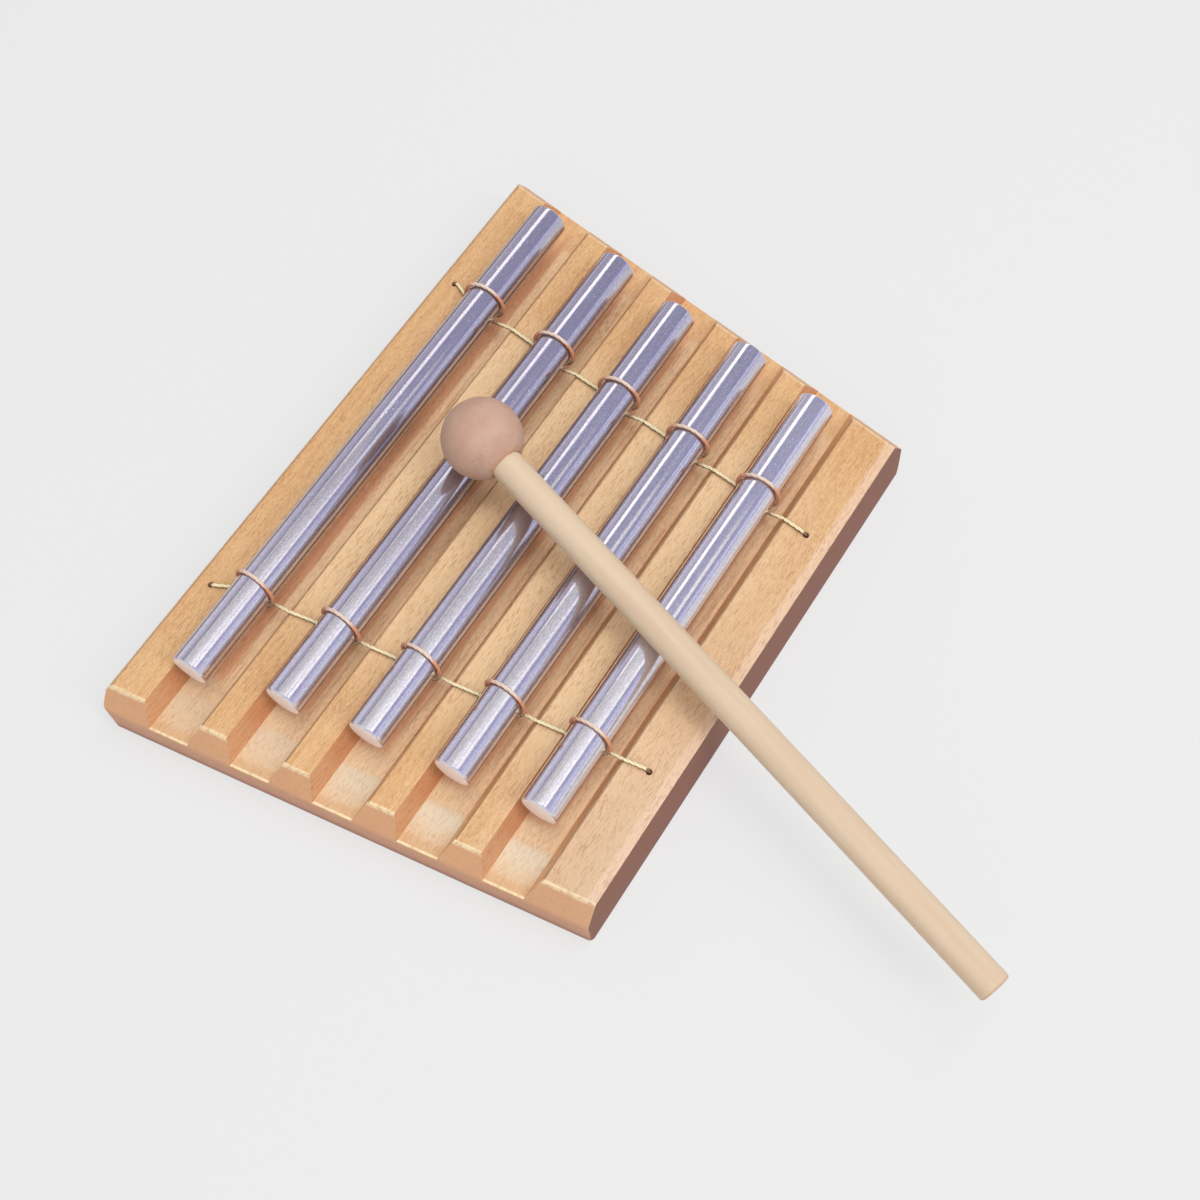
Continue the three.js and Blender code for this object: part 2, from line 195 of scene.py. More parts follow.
class Graph:
    """A material or a world while its nodes are put together."""

    def __init__(self, owner: Union[bpy.types.Material, bpy.types.World]) -> None:
        """Empties the owner's node tree."""
        owner.use_nodes = True
        self.tree = owner.node_tree
        self.tree.nodes.clear()

    def feed(self, socket: bpy.types.NodeSocket, value: object) -> None:
        """Links an input to a term or a socket, or sets it to a plain value."""
        source = value.socket if isinstance(value, Term) else value
        if isinstance(source, bpy.types.NodeSocket):
            self.tree.links.new(source, socket)
        else:
            socket.default_value = source

    def node(
        self,
        kind: str,
        settings: Optional[dict[str, object]] = None,
        sockets: Optional[dict[Union[int, str], object]] = None,
    ) -> bpy.types.Node:
        """Adds any node.

        Args:
            kind: The node's type.
            settings: Attributes of the node, which are set first.
            sockets: Values or links of its inputs, by name or number.

        Returns:
            The new node.
        """
        made = self.tree.nodes.new(kind)
        for name, value in (settings or {}).items():
            setattr(made, name, value)
        for key, value in (sockets or {}).items():
            self.feed(made.inputs[key], value)
        return made

    def seen(self) -> Term:
        """1 for what the camera, mirrors and glass see, and 0 for what lights the chime."""
        path = self.node("ShaderNodeLightPath")
        total = path.outputs["Is Camera Ray"]
        for name in ("Is Glossy Ray", "Is Transmission Ray"):
            pair = {0: total, 1: path.outputs[name]}
            total = self.node("ShaderNodeMath", {"operation": "MAXIMUM"}, pair).outputs[0]
        return Term(self, total)

    def mix_shaders(self, share: Operand, first: bpy.types.Node, second: bpy.types.Node) -> bpy.types.Node:
        """Blends the shaders of two nodes: the share is how much of the second shows."""
        sockets = {0: share, 1: first.outputs[0], 2: second.outputs[0]}
        return self.node("ShaderNodeMixShader", None, sockets)


class Recipe(Graph):
    """A piece's material with one Principled shader."""

    def __init__(self, name: str) -> None:
        """Starts the material."""
        self.material = bpy.data.materials.new(name)
        super().__init__(self.material)
        self.shader = self.node("ShaderNodeBsdfPrincipled")
        self.node("ShaderNodeOutputMaterial", None, {"Surface": self.shader.outputs[0]})
        self.coordinates = self.node("ShaderNodeTexCoord").outputs["Object"]

    def mix(self, share: Operand, first: Shade, second: Shade) -> bpy.types.NodeSocket:
        """Blends two colours.

        Args:
            share: How much of the second colour shows.
            first: Colour at a share of 0.
            second: Colour at a share of 1.

        Returns:
            The blended colour.
        """
        node = self.node("ShaderNodeMix", {"data_type": "RGBA"}, {0: share, 6: first, 7: second})
        return node.outputs[2]

    def layered(self, base: Shade, *layers: tuple[Operand, Shade]) -> bpy.types.NodeSocket:
        """Lays colours over a base.

        Args:
            base: The lowest colour.
            layers: How much of each further colour shows, and the colour.

        Returns:
            The blended colour.
        """
        for share, colour in layers:
            base = self.mix(share, base, colour)
        return base

    def parts(self, vector: bpy.types.NodeSocket) -> tuple[Term, Term, Term]:
        """The X, Y and Z of a vector as terms."""
        node = self.node("ShaderNodeSeparateXYZ", None, {0: vector})
        return tuple(Term(self, socket) for socket in node.outputs)

    def along(self, direction: Vector, origin: Vector) -> Term:
        """How far a point lies along a direction from an origin, in metres."""
        moved = self.node(
            "ShaderNodeVectorMath", {"operation": "SUBTRACT"}, {0: self.coordinates, 1: tuple(origin)},
        )
        node = self.node(
            "ShaderNodeVectorMath",
            {"operation": "DOT_PRODUCT"},
            {0: moved.outputs[0], 1: tuple(direction)},
        )
        return Term(self, node.outputs["Value"])

    def noise(
        self,
        features: Sequence[float],
        detail: float = 2.0,
        roughness: float = 0.5,
        vector: Optional[bpy.types.NodeSocket] = None,
    ) -> Term:
        """Smooth noise with a feature size of its own along each axis.

        Args:
            features: Size of a feature along X, Y and Z, in metres.
            detail: Octaves of finer noise on top.
            roughness: Strength of the finer octaves.
            vector: Coordinates to use instead of the piece's own.

        Returns:
            The noise, about 0.5 on average.
        """
        scaled = self.node(
            "ShaderNodeVectorMath",
            {"operation": "MULTIPLY"},
            {0: vector or self.coordinates, 1: tuple(1 / size for size in features)},
        )
        node = self.node(
            "ShaderNodeTexNoise",
            {"noise_dimensions": "3D"},
            {"Vector": scaled.outputs[0], "Scale": 1.0, "Detail": detail, "Roughness": roughness},
        )
        return Term(self, node.outputs[0])

    def grain(
        self,
        across: float,
        along: float,
        detail: float,
        roughness: float,
        vector: Optional[bpy.types.NodeSocket] = None,
    ) -> Term:
        """Noise drawn out along Y.

        Args:
            across: Size of a feature along X and Z, in millimetres.
            along: Size of a feature along Y, in millimetres.
            detail: Octaves of finer noise on top.
            roughness: Strength of the finer octaves.
            vector: Coordinates to use instead of the piece's own.

        Returns:
            The noise, about 0.5 on average.
        """
        return self.noise((across * MM, along * MM, across * MM), detail, roughness, vector)

    def normal(self) -> tuple[Term, Term, Term]:
        """The X, Y and Z of the surface's own normal."""
        return self.parts(self.node("ShaderNodeNewGeometry").outputs["Normal"])

    def attribute(self, name: str) -> Term:
        """A number that the mesh carries."""
        return Term(self, self.node("ShaderNodeAttribute", {"attribute_name": name}).outputs["Fac"])

    def finish(self, **inputs: object) -> bpy.types.Material:
        """Feeds the shader and closes the recipe.

        Args:
            inputs: Values or links of the shader's inputs, with _ for each space.

        Returns:
            The finished material.
        """
        for name, value in inputs.items():
            self.feed(self.shader.inputs[name.replace("_", " ")], value)
        return self.material

    def bump(self, height: Term, depth: float, strength: float = 1.0) -> bpy.types.NodeSocket:
        """Turns a height from 0 to 1 into a bumped normal.

        Args:
            height: The height of the surface.
            depth: How deep a height of 1 is, in metres.
            strength: How much of it shows.

        Returns:
            The bumped normal.
        """
        node = self.node(
            "ShaderNodeBump", None, {"Strength": strength, "Distance": depth, "Height": height},
        )
        return node.outputs[0]


def add_piece(name: str, mesh: bmesh.types.BMesh, smooth_angle: float = 0.0) -> bpy.types.Object:
    """Turns a bmesh into a scene object at the origin.

    Args:
        name: The piece's name.
        mesh: The finished bmesh, which is freed.
        smooth_angle: Edges flatter than this are shaded smooth, in radians: 0 keeps the faces' own shading.

    Returns:
        The new object.
    """
    data = bpy.data.meshes.new(name)
    mesh.to_mesh(data)
    mesh.free()
    if smooth_angle > 0:
        data.shade_smooth()
        data.set_sharp_from_angle(angle=smooth_angle)
    piece = bpy.data.objects.new(name, data)
    bpy.context.scene.collection.objects.link(piece)
    return piece


def spun(profile: Sequence[tuple[float, float]], steps: int) -> bmesh.types.BMesh:
    """Turns a profile once round the Y axis into a closed skin.

    Args:
        profile: Points as radius and place along Y, from axis to axis.
        steps: Sides of the round.

    Returns:
        The skin as a bmesh.
    """
    mesh = bmesh.new()
    verts = [mesh.verts.new((radius, along, 0)) for radius, along in profile]
    edges = [mesh.edges.new(pair) for pair in zip(verts, verts[1:])]
    bmesh.ops.spin(
        mesh, geom=verts + edges, cent=(0, 0, 0), axis=(0, 1, 0), angle=FULL_TURN, steps=steps,
        use_merge=True,
    )
    bmesh.ops.remove_doubles(mesh, verts=mesh.verts[:], dist=WELD)
    bmesh.ops.recalc_face_normals(mesh, faces=mesh.faces[:])
    return mesh


def pull(mesh: bmesh.types.BMesh, face: bmesh.types.BMFace, reach: Vector) -> None:
    """Pulls a copy of a face out, which makes a closed bar with the face.

    Args:
        mesh: The face's bmesh.
        face: The bar's first end.
        reach: How far and which way the other end lies.
    """
    made = bmesh.ops.extrude_face_region(mesh, geom=[face], use_keep_orig=True)
    moved = [item for item in made["geom"] if isinstance(item, bmesh.types.BMVert)]
    bmesh.ops.translate(mesh, verts=moved, vec=reach)


def round_edges(
    mesh: bmesh.types.BMesh, edges: Sequence[bmesh.types.BMEdge], offset: float, segments: int,
) -> list[bmesh.types.BMFace]:
    """Rounds edges and shades the rounds smooth.

    Args:
        mesh: The edges' bmesh.
        edges: The edges to round.
        offset: How far from an edge its round starts.
        segments: Facets of a round.

    Returns:
        The rounds' faces.
    """
    made = bmesh.ops.bevel(
        mesh, geom=edges, offset=offset, segments=segments, profile=0.5, affect="EDGES",
        clamp_overlap=True, material=-1,
    )
    for face in made["faces"]:
        face.smooth = True
    return made["faces"]


def arc(
    centre: tuple[float, float], radius: float, start: float, end: float, steps: int,
) -> list[tuple[float, float]]:
    """Points on a round stretch of a profile.

    Args:
        centre: The arc's centre.
        radius: The arc's radius.
        start: Angle of the first point, in radians from the profile's first axis.
        end: Angle of the last point.
        steps: Chords along the arc.

    Returns:
        The points from start to end.
    """
    angles = [start + (end - start) * step / steps for step in range(steps + 1)]
    return [(centre[0] + radius * math.cos(a), centre[1] + radius * math.sin(a)) for a in angles]


@dataclass(frozen=True)
class RodPlace:
    """One rod's size and place, read from the frame."""

    number: int
    radius: float
    length: float
    centre: Vector

    @classmethod
    def read(cls, number: int) -> "RodPlace":
        """Reads a rod from its node."""
        low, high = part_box(f"chime_rod_{number}")
        return cls(number, (high.z - low.z) / 2, high.y - low.y, (low + high) / 2)


@dataclass(frozen=True)
class Taper:
    """A half width along Y that changes evenly across the board."""

    x: float
    value: float
    slope: float

    @classmethod
    def through(cls, first: tuple[float, float], last: tuple[float, float]) -> "Taper":
        """The taper through two points, each an X and a half width."""
        return cls(first[0], first[1], (last[1] - first[1]) / (last[0] - first[0]))

    def at(self, x: float) -> float:
        """The half width at an X."""
        return self.value + self.slope * (x - self.x)


@dataclass(frozen=True)
class CordHole:
    """A pair of cord holes, one for each sling.

    Attributes:
        x: Where they lie across the board.
        spread: How far outside the slings' lines they lie.
        ahead: 1 or -1, the way along X that the cords take from them.
    """

    x: float
    spread: float
    ahead: int


@dataclass(frozen=True)
class Plan:
    """The sizes that the board and the slings share."""

    rods: tuple[RodPlace, ...]
    thickness: float
    left: float
    right: float
    left_land: float = 12.7 * MM
    ridge: float = 8.5 * MM
    side_room: float = 3.2 * MM
    groove_depth: float = 8 * MM
    wall_run: float = 2.85 * MM
    long_margin: float = 9.1 * MM
    short_margin: float = 11.2 * MM
    bevel_run: float = 5.4 * MM
    left_chamfer: float = 1.6 * MM
    right_lean: float = 1.6 * MM
    right_foot: float = 1.5 * MM
    corner_radius: float = 1.5 * MM
    cord_diameter: float = 1.2 * MM
    hole_room: float = 0.55 * MM
    left_hole_inset: float = 5.65 * MM
    right_hole_inset: float = 9.65 * MM
    long_sling_inset: float = 34.7 * MM
    short_sling_inset: float = 30.8 * MM
    left_sling_shift: float = -1.3 * MM
    right_sling_shift: float = -0.2 * MM
    left_hole_spread: float = 2.2 * MM
    right_hole_spread: float = 0.3 * MM
    touch_gap: float = 0.3 * MM
    strand_gap: float = 0.85 * MM
    knot_turns: int = 2
    knot_tuck: float = 1 * MM
    knot_room: float = 0.55 * MM
    knot_recess: float = 1 * MM

    @classmethod
    def read(cls) -> "Plan":
        """Reads what the frame holds: the rods and the board's outer size."""
        low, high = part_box("base_board")
        rods = tuple(RodPlace.read(number + 1) for number in range(ROD_COUNT))
        return cls(rods, high.z, low.x, high.x)

    @property
    def groove_width(self) -> float:
        """Width of a groove at the top of the board."""
        return 2 * (self.rods[0].radius + self.side_room)

    @property
    def pitch(self) -> float:
        """Distance from one groove to the next."""
        return self.groove_width + self.ridge

    @property
    def floor(self) -> float:
        """Height of the grooves' floors."""
        return self.thickness - self.groove_depth

    @property
    def cord_radius(self) -> float:
        """Radius of the cords."""
        return self.cord_diameter / 2

    @property
    def hole_radius(self) -> float:
        """Radius of the cord holes, which the cords also bend round at the mouths."""
        return self.cord_radius + self.hole_room

    @property
    def strand_pitch(self) -> float:
        """Distance between neighbouring strands of one cord."""
        return self.cord_diameter + self.strand_gap

    @property
    def knot_top(self) -> float:
        """Height of the first turn of a stopper knot."""
        return self.knot_recess + self.cord_radius + self.knot_tuck + self.knot_turns * self.strand_pitch

    @property
    def tail_rise(self) -> float:
        """How far a knot's tail climbs above the first turn."""
        return self.cord_diameter / FULL_TURN

    @property
    def pocket_depth(self) -> float:
        """Depth of the knot pockets."""
        return self.knot_top + self.tail_rise + self.cord_radius + self.touch_gap

    @property
    def pocket_radius(self) -> float:
        """Radius of the knot pockets."""
        return math.hypot(self.strand_pitch, self.cord_diameter) + self.cord_radius + self.knot_room

    @property
    def holes(self) -> tuple[CordHole, CordHole]:
        """The left and right cord holes."""
        return (
            CordHole(self.left + self.left_hole_inset, self.left_hole_spread, 1),
            CordHole(self.right - self.right_hole_inset, self.right_hole_spread, -1),
        )

    def groove(self, index: int) -> float:
        """X of a groove's middle."""
        return self.left + self.left_land + self.groove_width / 2 + index * self.pitch

    def across(self, at_first: float, at_last: float) -> Taper:
        """The taper with given half widths at the first and last grooves."""
        return Taper.through((self.groove(0), at_first), (self.groove(ROD_COUNT - 1), at_last))

    @property
    def half_length(self) -> Taper:
        """Half the length of the board's top."""
        return self.across(
            self.rods[0].length / 2 + self.long_margin, self.rods[-1].length / 2 + self.short_margin,
        )

    @property
    def half_sling(self) -> Taper:
        """Half the distance between the two slings."""
        return self.across(
            self.rods[0].length / 2 - self.long_sling_inset,
            self.rods[-1].length / 2 - self.short_sling_inset,
        )

    def outward(self, end: Side) -> Vector:
        """The direction out of a sloped end, seen from above."""
        return Vector((-self.half_length.slope, end.value, 0)).normalized()

    def sling_y(self, x: float, side: Side) -> float:
        """Where a sling's line crosses an X."""
        left, right = self.holes
        share = (x - left.x) / (right.x - left.x)
        middle = self.left_sling_shift + share * (self.right_sling_shift - self.left_sling_shift)
        return middle + side.value * self.half_sling.at(x)

    def hole_y(self, hole: CordHole, side: Side) -> float:
        """Where a sling's hole lies along the board."""
        return self.sling_y(hole.x, side) + side.value * hole.spread


class BeechMap:
    """What the tones of the beech share: places on the board, which way it faces, and its grain."""

    def __init__(self, recipe: Recipe, plan: Plan) -> None:
        """Works the terms out.

        Args:
            recipe: The material that is put together.
            plan: The board's sizes.
        """
        self.x, self.y, self.z = recipe.parts(recipe.coordinates)
        self.normal_x, self.normal_y, self.normal_z = recipe.normal()
        self.past_front = self._past_end(recipe, plan, Side.FRONT)
        self.past_back = self._past_end(recipe, plan, Side.BACK)
        self.across = (self.x - plan.groove(0)).wrap(-plan.pitch / 2, plan.pitch / 2)
        self.flat = self.normal_z.rise(0.85, 0.97)
        self.in_groove = self.z.rise(plan.thickness - 0.2 * MM, plan.thickness - 1.2 * MM)
        self.on_floor = self.in_groove * self.flat
        self.end_grain = abs(self.normal_y).rise(0.45, 0.8)
        self.lip = self.past_front.rise(plan.bevel_run - 1.2 * MM, plan.bevel_run - 0.8 * MM)
        self.streaks = recipe.grain(1.3, 34, 4.0, 0.65)
        self.fine = recipe.grain(0.28, 1.3, 2.0, 0.6)
        figure = recipe.grain(14, 90, 3.0, 0.6)
        drawn = figure.rise(0.3, 0.7) * 0.25 + self.streaks.rise(0.36, 0.66) * 0.35
        self.shade = drawn + self.fine.rise(0.40, 0.62) * 0.45
        fleck_field = recipe.grain(0.29, 2.2, 1.0, 0.5)
        fleck_patches = recipe.grain(5, 12, 2.0, 0.5)
        self.flecks = fleck_field.rise(0.48, 0.70) * (0.5 + 0.5 * fleck_patches.rise(0.34, 0.62))

    @staticmethod
    def _past_end(recipe: Recipe, plan: Plan, end: Side) -> Term:
        """How far a place lies beyond the upper edge of an end: less than nothing on the board's top."""
        edge = Vector((0, end.value * plan.half_length.at(0), plan.thickness))
        return recipe.along(plan.outward(end), edge)


@dataclass(frozen=True)
class BeechFinish:
    """Oiled beech: honey-coloured, with fine flecks along Y and worn arrises, and with painted light and
    shade on the floors, walls, sides, foot and edges.
    """

    plan: Plan
    honey: Colour = tint(235, 194, 145)
    amber: Colour = tint(211, 159, 106)
    blond: Colour = tint(220, 194, 167)
    # Painted light: lifts the rods' shade on the ridges between the slings.
    painted_light_pale: Colour = tint(250, 220, 178)
    floor_cream: Colour = tint(230, 202, 168)
    # Painted shade: the floors' tan is redder and darker beneath the rods.
    floor_shade_tan: Colour = tint(240, 178, 138)
    # Painted light: the pale strip beside the rods and under their front ends.
    floor_lit_pale: Colour = tint(255, 224, 184)
    # Painted light: the pale patch on the floors ahead of the rods.
    floor_lit_patch: Colour = tint(232, 222, 198)
    # Painted shade: the dark line along the ridges' left edges.
    edge_shade_brown: Colour = tint(108, 66, 42)
    wall_rust: Colour = tint(204, 134, 96)
    # Painted light on the walls: lighter near the front and where they face left.
    wall_lit_tan: Colour = tint(212, 152, 114)
    wall_lit_honey: Colour = tint(248, 194, 140)
    end_brown: Colour = tint(222, 170, 128)
    front_brown: Colour = tint(204, 148, 118)
    # Painted shade: the long sides of the board.
    side_shade_umber: Colour = tint(126, 76, 60)
    # Painted shadow: a dark band at the board's foot.
    foot_shadow_plum: Colour = tint(132, 84, 80)
    # Painted highlight: the pale band along the right rim.
    rim_highlight_pink: Colour = tint(240, 208, 182)
    fleck_brown: Colour = tint(168, 106, 62)
    # Worn arrises, partly a painted edge highlight.
    worn_highlight_cream: Colour = tint(250, 232, 190)

    def material(self) -> bpy.types.Material:
        """Puts the beech together.

        Returns:
            The finished material.
        """
        plan = self.plan
        recipe = Recipe("oiled_beech")
        beech = BeechMap(recipe, plan)
        top_tone = recipe.mix(beech.shade, self.honey, self.amber)
        end_tone = recipe.mix(beech.fine.rise(0.36, 0.66) * 0.35, self.end_brown, self.front_brown)
        toward_right = beech.x.rise(0.3 * plan.right, plan.right) * beech.y.rise(100 * MM, -80 * MM)
        # Painted light: the ridges between the slings are paler, lifting the shade that the rods cast on
        # them.
        between_slings = abs(beech.y).rise(75 * MM, 45 * MM) * abs(beech.x).rise(75 * MM, 50 * MM)
        upright = (1 - beech.normal_z.rise(0.2, 0.75)) * (1 - abs(beech.normal_y).rise(0.3, 0.6))
        low = beech.z.rise(plan.floor + 1.0 * MM, plan.floor - 3.0 * MM)
        below_bevel = abs(beech.normal_y).rise(0.8, 0.95) * low
        # Painted contact shadow: darker towards the foot of the board.
        foot_shadow = beech.z.rise(6 * MM, 0.5 * MM) * (1 - abs(beech.normal_z).rise(0.5, 0.8))
        flecked = beech.flecks * (0.45 - 0.1 * beech.on_floor - 0.15 * beech.end_grain)
        edge_shade = self._edge_shade_line(beech)
        inside = beech.x.rise(plan.groove(0), plan.groove(0) + 1 * MM) * (1 - beech.end_grain)
        tone = recipe.layered(
            top_tone,
            (toward_right * 0.65, self.blond),
            (between_slings * 0.5, self.painted_light_pale),
            (beech.on_floor * 0.95, self._floor_tone(recipe, beech, top_tone)),
            (upright * 0.8, self._wall_tone(recipe, beech)),
            (self._right_rim_highlight(beech) * 0.6, self.rim_highlight_pink),
            (beech.end_grain * 0.9, end_tone),
            (below_bevel * 0.85, self.front_brown),
            (self._outer_side(beech) * 0.95, self.side_shade_umber),
            (foot_shadow * 0.6, self.foot_shadow_plum),
            (flecked, self.fleck_brown),
            (edge_shade * inside * 0.6, self.edge_shade_brown),
            (self._wear(recipe, beech, edge_shade), self.worn_highlight_cream),
        )
        fibres = recipe.grain(0.18, 6, 3.0, 0.6)
        height = 0.6 * fibres + 0.4 * (1 - beech.flecks)
        return recipe.finish(
            Base_Color=tone,
            Roughness=0.48 + 0.14 * beech.streaks + 0.12 * beech.flecks,
            Normal=recipe.bump(height, 0.05 * MM, 0.5),
            Specular_IOR_Level=0.35,
        )

    def _floor_tone(self, recipe: Recipe, beech: BeechMap, top_tone: Shade) -> bpy.types.NodeSocket:
        """The grooves' floors: tan darkened as painted shade beneath the rods, a painted lit strip beside
        them, pale at the front, and a painted pale patch of light ahead of the rods.

        Args:
            recipe: The material that is put together.
            beech: The board's shared terms.
            top_tone: The colour of the board's top.

        Returns:
            The floors' colour.
        """
        near_front = beech.past_front.rise(-20 * MM, -14 * MM)
        near_back = beech.past_back.rise(-8 * MM, -4 * MM)
        # Painted light: a pale strip on the floor beside each rod, where the rod's shadow ends.
        lit_pale = beech.across.band(2.0 * MM, 3.2 * MM, 5.8 * MM, 7.0 * MM)
        # Painted light: a lighter floor under the rods' front ends, where the rods' shadow would darken it.
        lit_under_ends = beech.past_front.band(-19 * MM, -15 * MM, -11 * MM, -7 * MM)
        # Painted light: a pale patch on the floor just ahead of each rod's front end.
        lit_ahead_of_rods = beech.past_front.band(-10.5 * MM, -8 * MM, -7 * MM, 3 * MM)
        most_on_right = 0.3 + 0.55 * beech.x.rise(self.plan.groove(0), self.plan.groove(3))
        seams = beech.streaks.rise(0.5, 0.66) * (1 - near_front) * (1 - near_back)
        before_lip = beech.past_front.rise(0.5 * MM, 3.0 * MM) * (1 - beech.lip)
        # The tan base is painted shade: redder and darker where the rods shade the floors.
        return recipe.layered(
            self.floor_shade_tan,
            (lit_pale, self.floor_lit_pale),
            (near_front, self.floor_cream),
            (lit_under_ends * 0.45, self.floor_lit_pale),
            (near_back * 0.8, top_tone),
            (beech.shade * 0.5, top_tone),
            (seams * 0.4, self.wall_rust),
            (lit_ahead_of_rods * most_on_right, self.floor_lit_patch),
            (before_lip * 0.45, self.amber),
        )

    def _wall_tone(self, recipe: Recipe, beech: BeechMap) -> bpy.types.NodeSocket:
        """The grooves' walls: rust, with painted light: tan near the front, out of the rods' shade, and
        honey where they face left.
        """
        # Painted light: the walls are lighter near the front, where no rod shades them, and where they face
        # left.
        near_front = (beech.past_front.rise(-11 * MM, -5 * MM), self.wall_lit_tan)
        return recipe.layered(self.wall_rust, near_front, (beech.normal_x.rise(0.2, -0.2), self.wall_lit_honey))

    def _right_rim_highlight(self, beech: BeechMap) -> Term:
        """The strip of the top along the leaning right side, where a pale band is painted as a highlight.
        """
        start = self.plan.right - self.plan.right_lean - 3.6 * MM
        return beech.x.rise(start, start + 1.2 * MM) * beech.flat * (1 - beech.in_groove)

    def _outer_side(self, beech: BeechMap) -> Term:
        """The two long sides of the board, which are painted dark as shade."""
        facing = abs(beech.normal_x).rise(0.5, 0.8) * (1 - beech.normal_z.rise(0.2, 0.5))
        outermost = abs(beech.x).rise(self.plan.right - 4 * MM, self.plan.right - 3 * MM)
        return facing * (1 - beech.on_floor) * outermost

    def _edge_shade_line(self, beech: BeechMap) -> Term:
        """A painted shade line along the right edge of each groove, which is the left edge of a ridge,
        where the wall below lies in shade.
        """
        past_groove = beech.across - self.plan.groove_width / 2
        return abs(past_groove - 0.2 * MM).rise(0.45 * MM, 0.25 * MM) * (1 - beech.in_groove)

    def _wear(self, recipe: Recipe, beech: BeechMap, edge_shade: Term) -> Term:
        """How much worn, pale colour the arrises carry, partly real wear and partly a painted edge
        highlight: the upper edges of the two ends and the floors' front lips most of all.

        Args:
            recipe: The material that is put together.
            beech: The board's shared terms.
            edge_shade: The lines that keep their colour.

        Returns:
            How much of the worn colour shows.
        """
        top = self.plan.thickness
        front_edge = abs(beech.past_front).rise(0.95 * MM, 0.2 * MM)
        back_edge = abs(beech.past_back).rise(0.95 * MM, 0.2 * MM)
        ends = (0.8 * front_edge + 0.45 * back_edge) * beech.z.rise(top - 2.2 * MM, top - 1.4 * MM)
        off_walls = beech.normal_z.rise(0.36, 0.5)
        arrises = recipe.attribute("worn") * 0.7 * (1 - edge_shade)
        breaks = recipe.grain(1.6, 2.4, 3.0, 0.65).rise(0.34, 0.58)
        return (arrises + ends * off_walls + 0.8 * beech.lip * beech.on_floor) * (0.25 + 0.75 * breaks)


@dataclass(frozen=True)
class DrawnMetalFinish:
    """Drawn round bar: lavender-grey metal with lengthwise draw lines, painted glints as pale flecks,
    painted darker reflections towards the back and sawn ends.
    """

    number: int
    # Painted shade: how much darker the back of the longest rod is painted.
    most_painted_dimming: float = 0.65
    bright: Colour = tint(233, 230, 239)
    dull: Colour = tint(188, 183, 199)
    # Painted glints: the pale flecks on the metal.
    glint_white: Colour = tint(248, 247, 252)
    sawn_white: Colour = tint(255, 238, 230)

    def material(self) -> bpy.types.Material:
        """Puts the metal together.

        Returns:
            The finished material.
        """
        recipe = Recipe(f"drawn_metal_{self.number}")
        _, y, _ = recipe.parts(recipe.coordinates)
        _, normal_y, _ = recipe.normal()
        sawn = abs(normal_y).rise(0.75, 0.95)
        # Painted shade: the colour darkens towards the rod's back, and more on longer rods, standing in for
        # dimmer reflections.
        painted_dimming = self._painted_dimming * (0.2 + 0.8 * y.rise(-75 * MM, -5 * MM))
        draw_lines = recipe.grain(0.45, 60, 4.0, 0.7)
        mottling = recipe.grain(0.5, 1.3, 3.0, 0.6)
        clouds = recipe.grain(5, 16, 2.0, 0.5)
        saw_marks = recipe.noise((6 * MM, 6 * MM, 0.35 * MM), 2.0, 0.5)

        patches = clouds.rise(0.40, 0.62)
        dulled = draw_lines.rise(0.35, 0.65) * 0.25 + mottling.rise(0.35, 0.65) * 0.4 + painted_dimming
        # Painted glints: pale flecks where the surface would catch highlights.
        flecks = mottling.rise(0.60, 0.70) * (0.25 + 0.75 * patches)
        tone = recipe.layered(
            self.bright, (dulled, self.dull), (flecks * 0.8, self.glint_white), (sawn, self.sawn_white),
        )
        skin = 0.6 * draw_lines + 0.4 * mottling * patches
        height = skin * (1 - sawn) + saw_marks * sawn
        return recipe.finish(
            Base_Color=tone,
            Metallic=0.88 - 0.83 * sawn,
            Roughness=0.12 + 0.10 * mottling * patches + 0.30 * sawn,
            Normal=recipe.bump(height, 0.016 * MM, 0.7),
        )

    @property
    def _painted_dimming(self) -> float:
        """How much darker the back of the rod is painted, as painted shade in its reflections: the longest
        one most.
        """
        share = (self.number - 1) / (ROD_COUNT - 1)
        return self.most_painted_dimming * (1 - share ** 2)


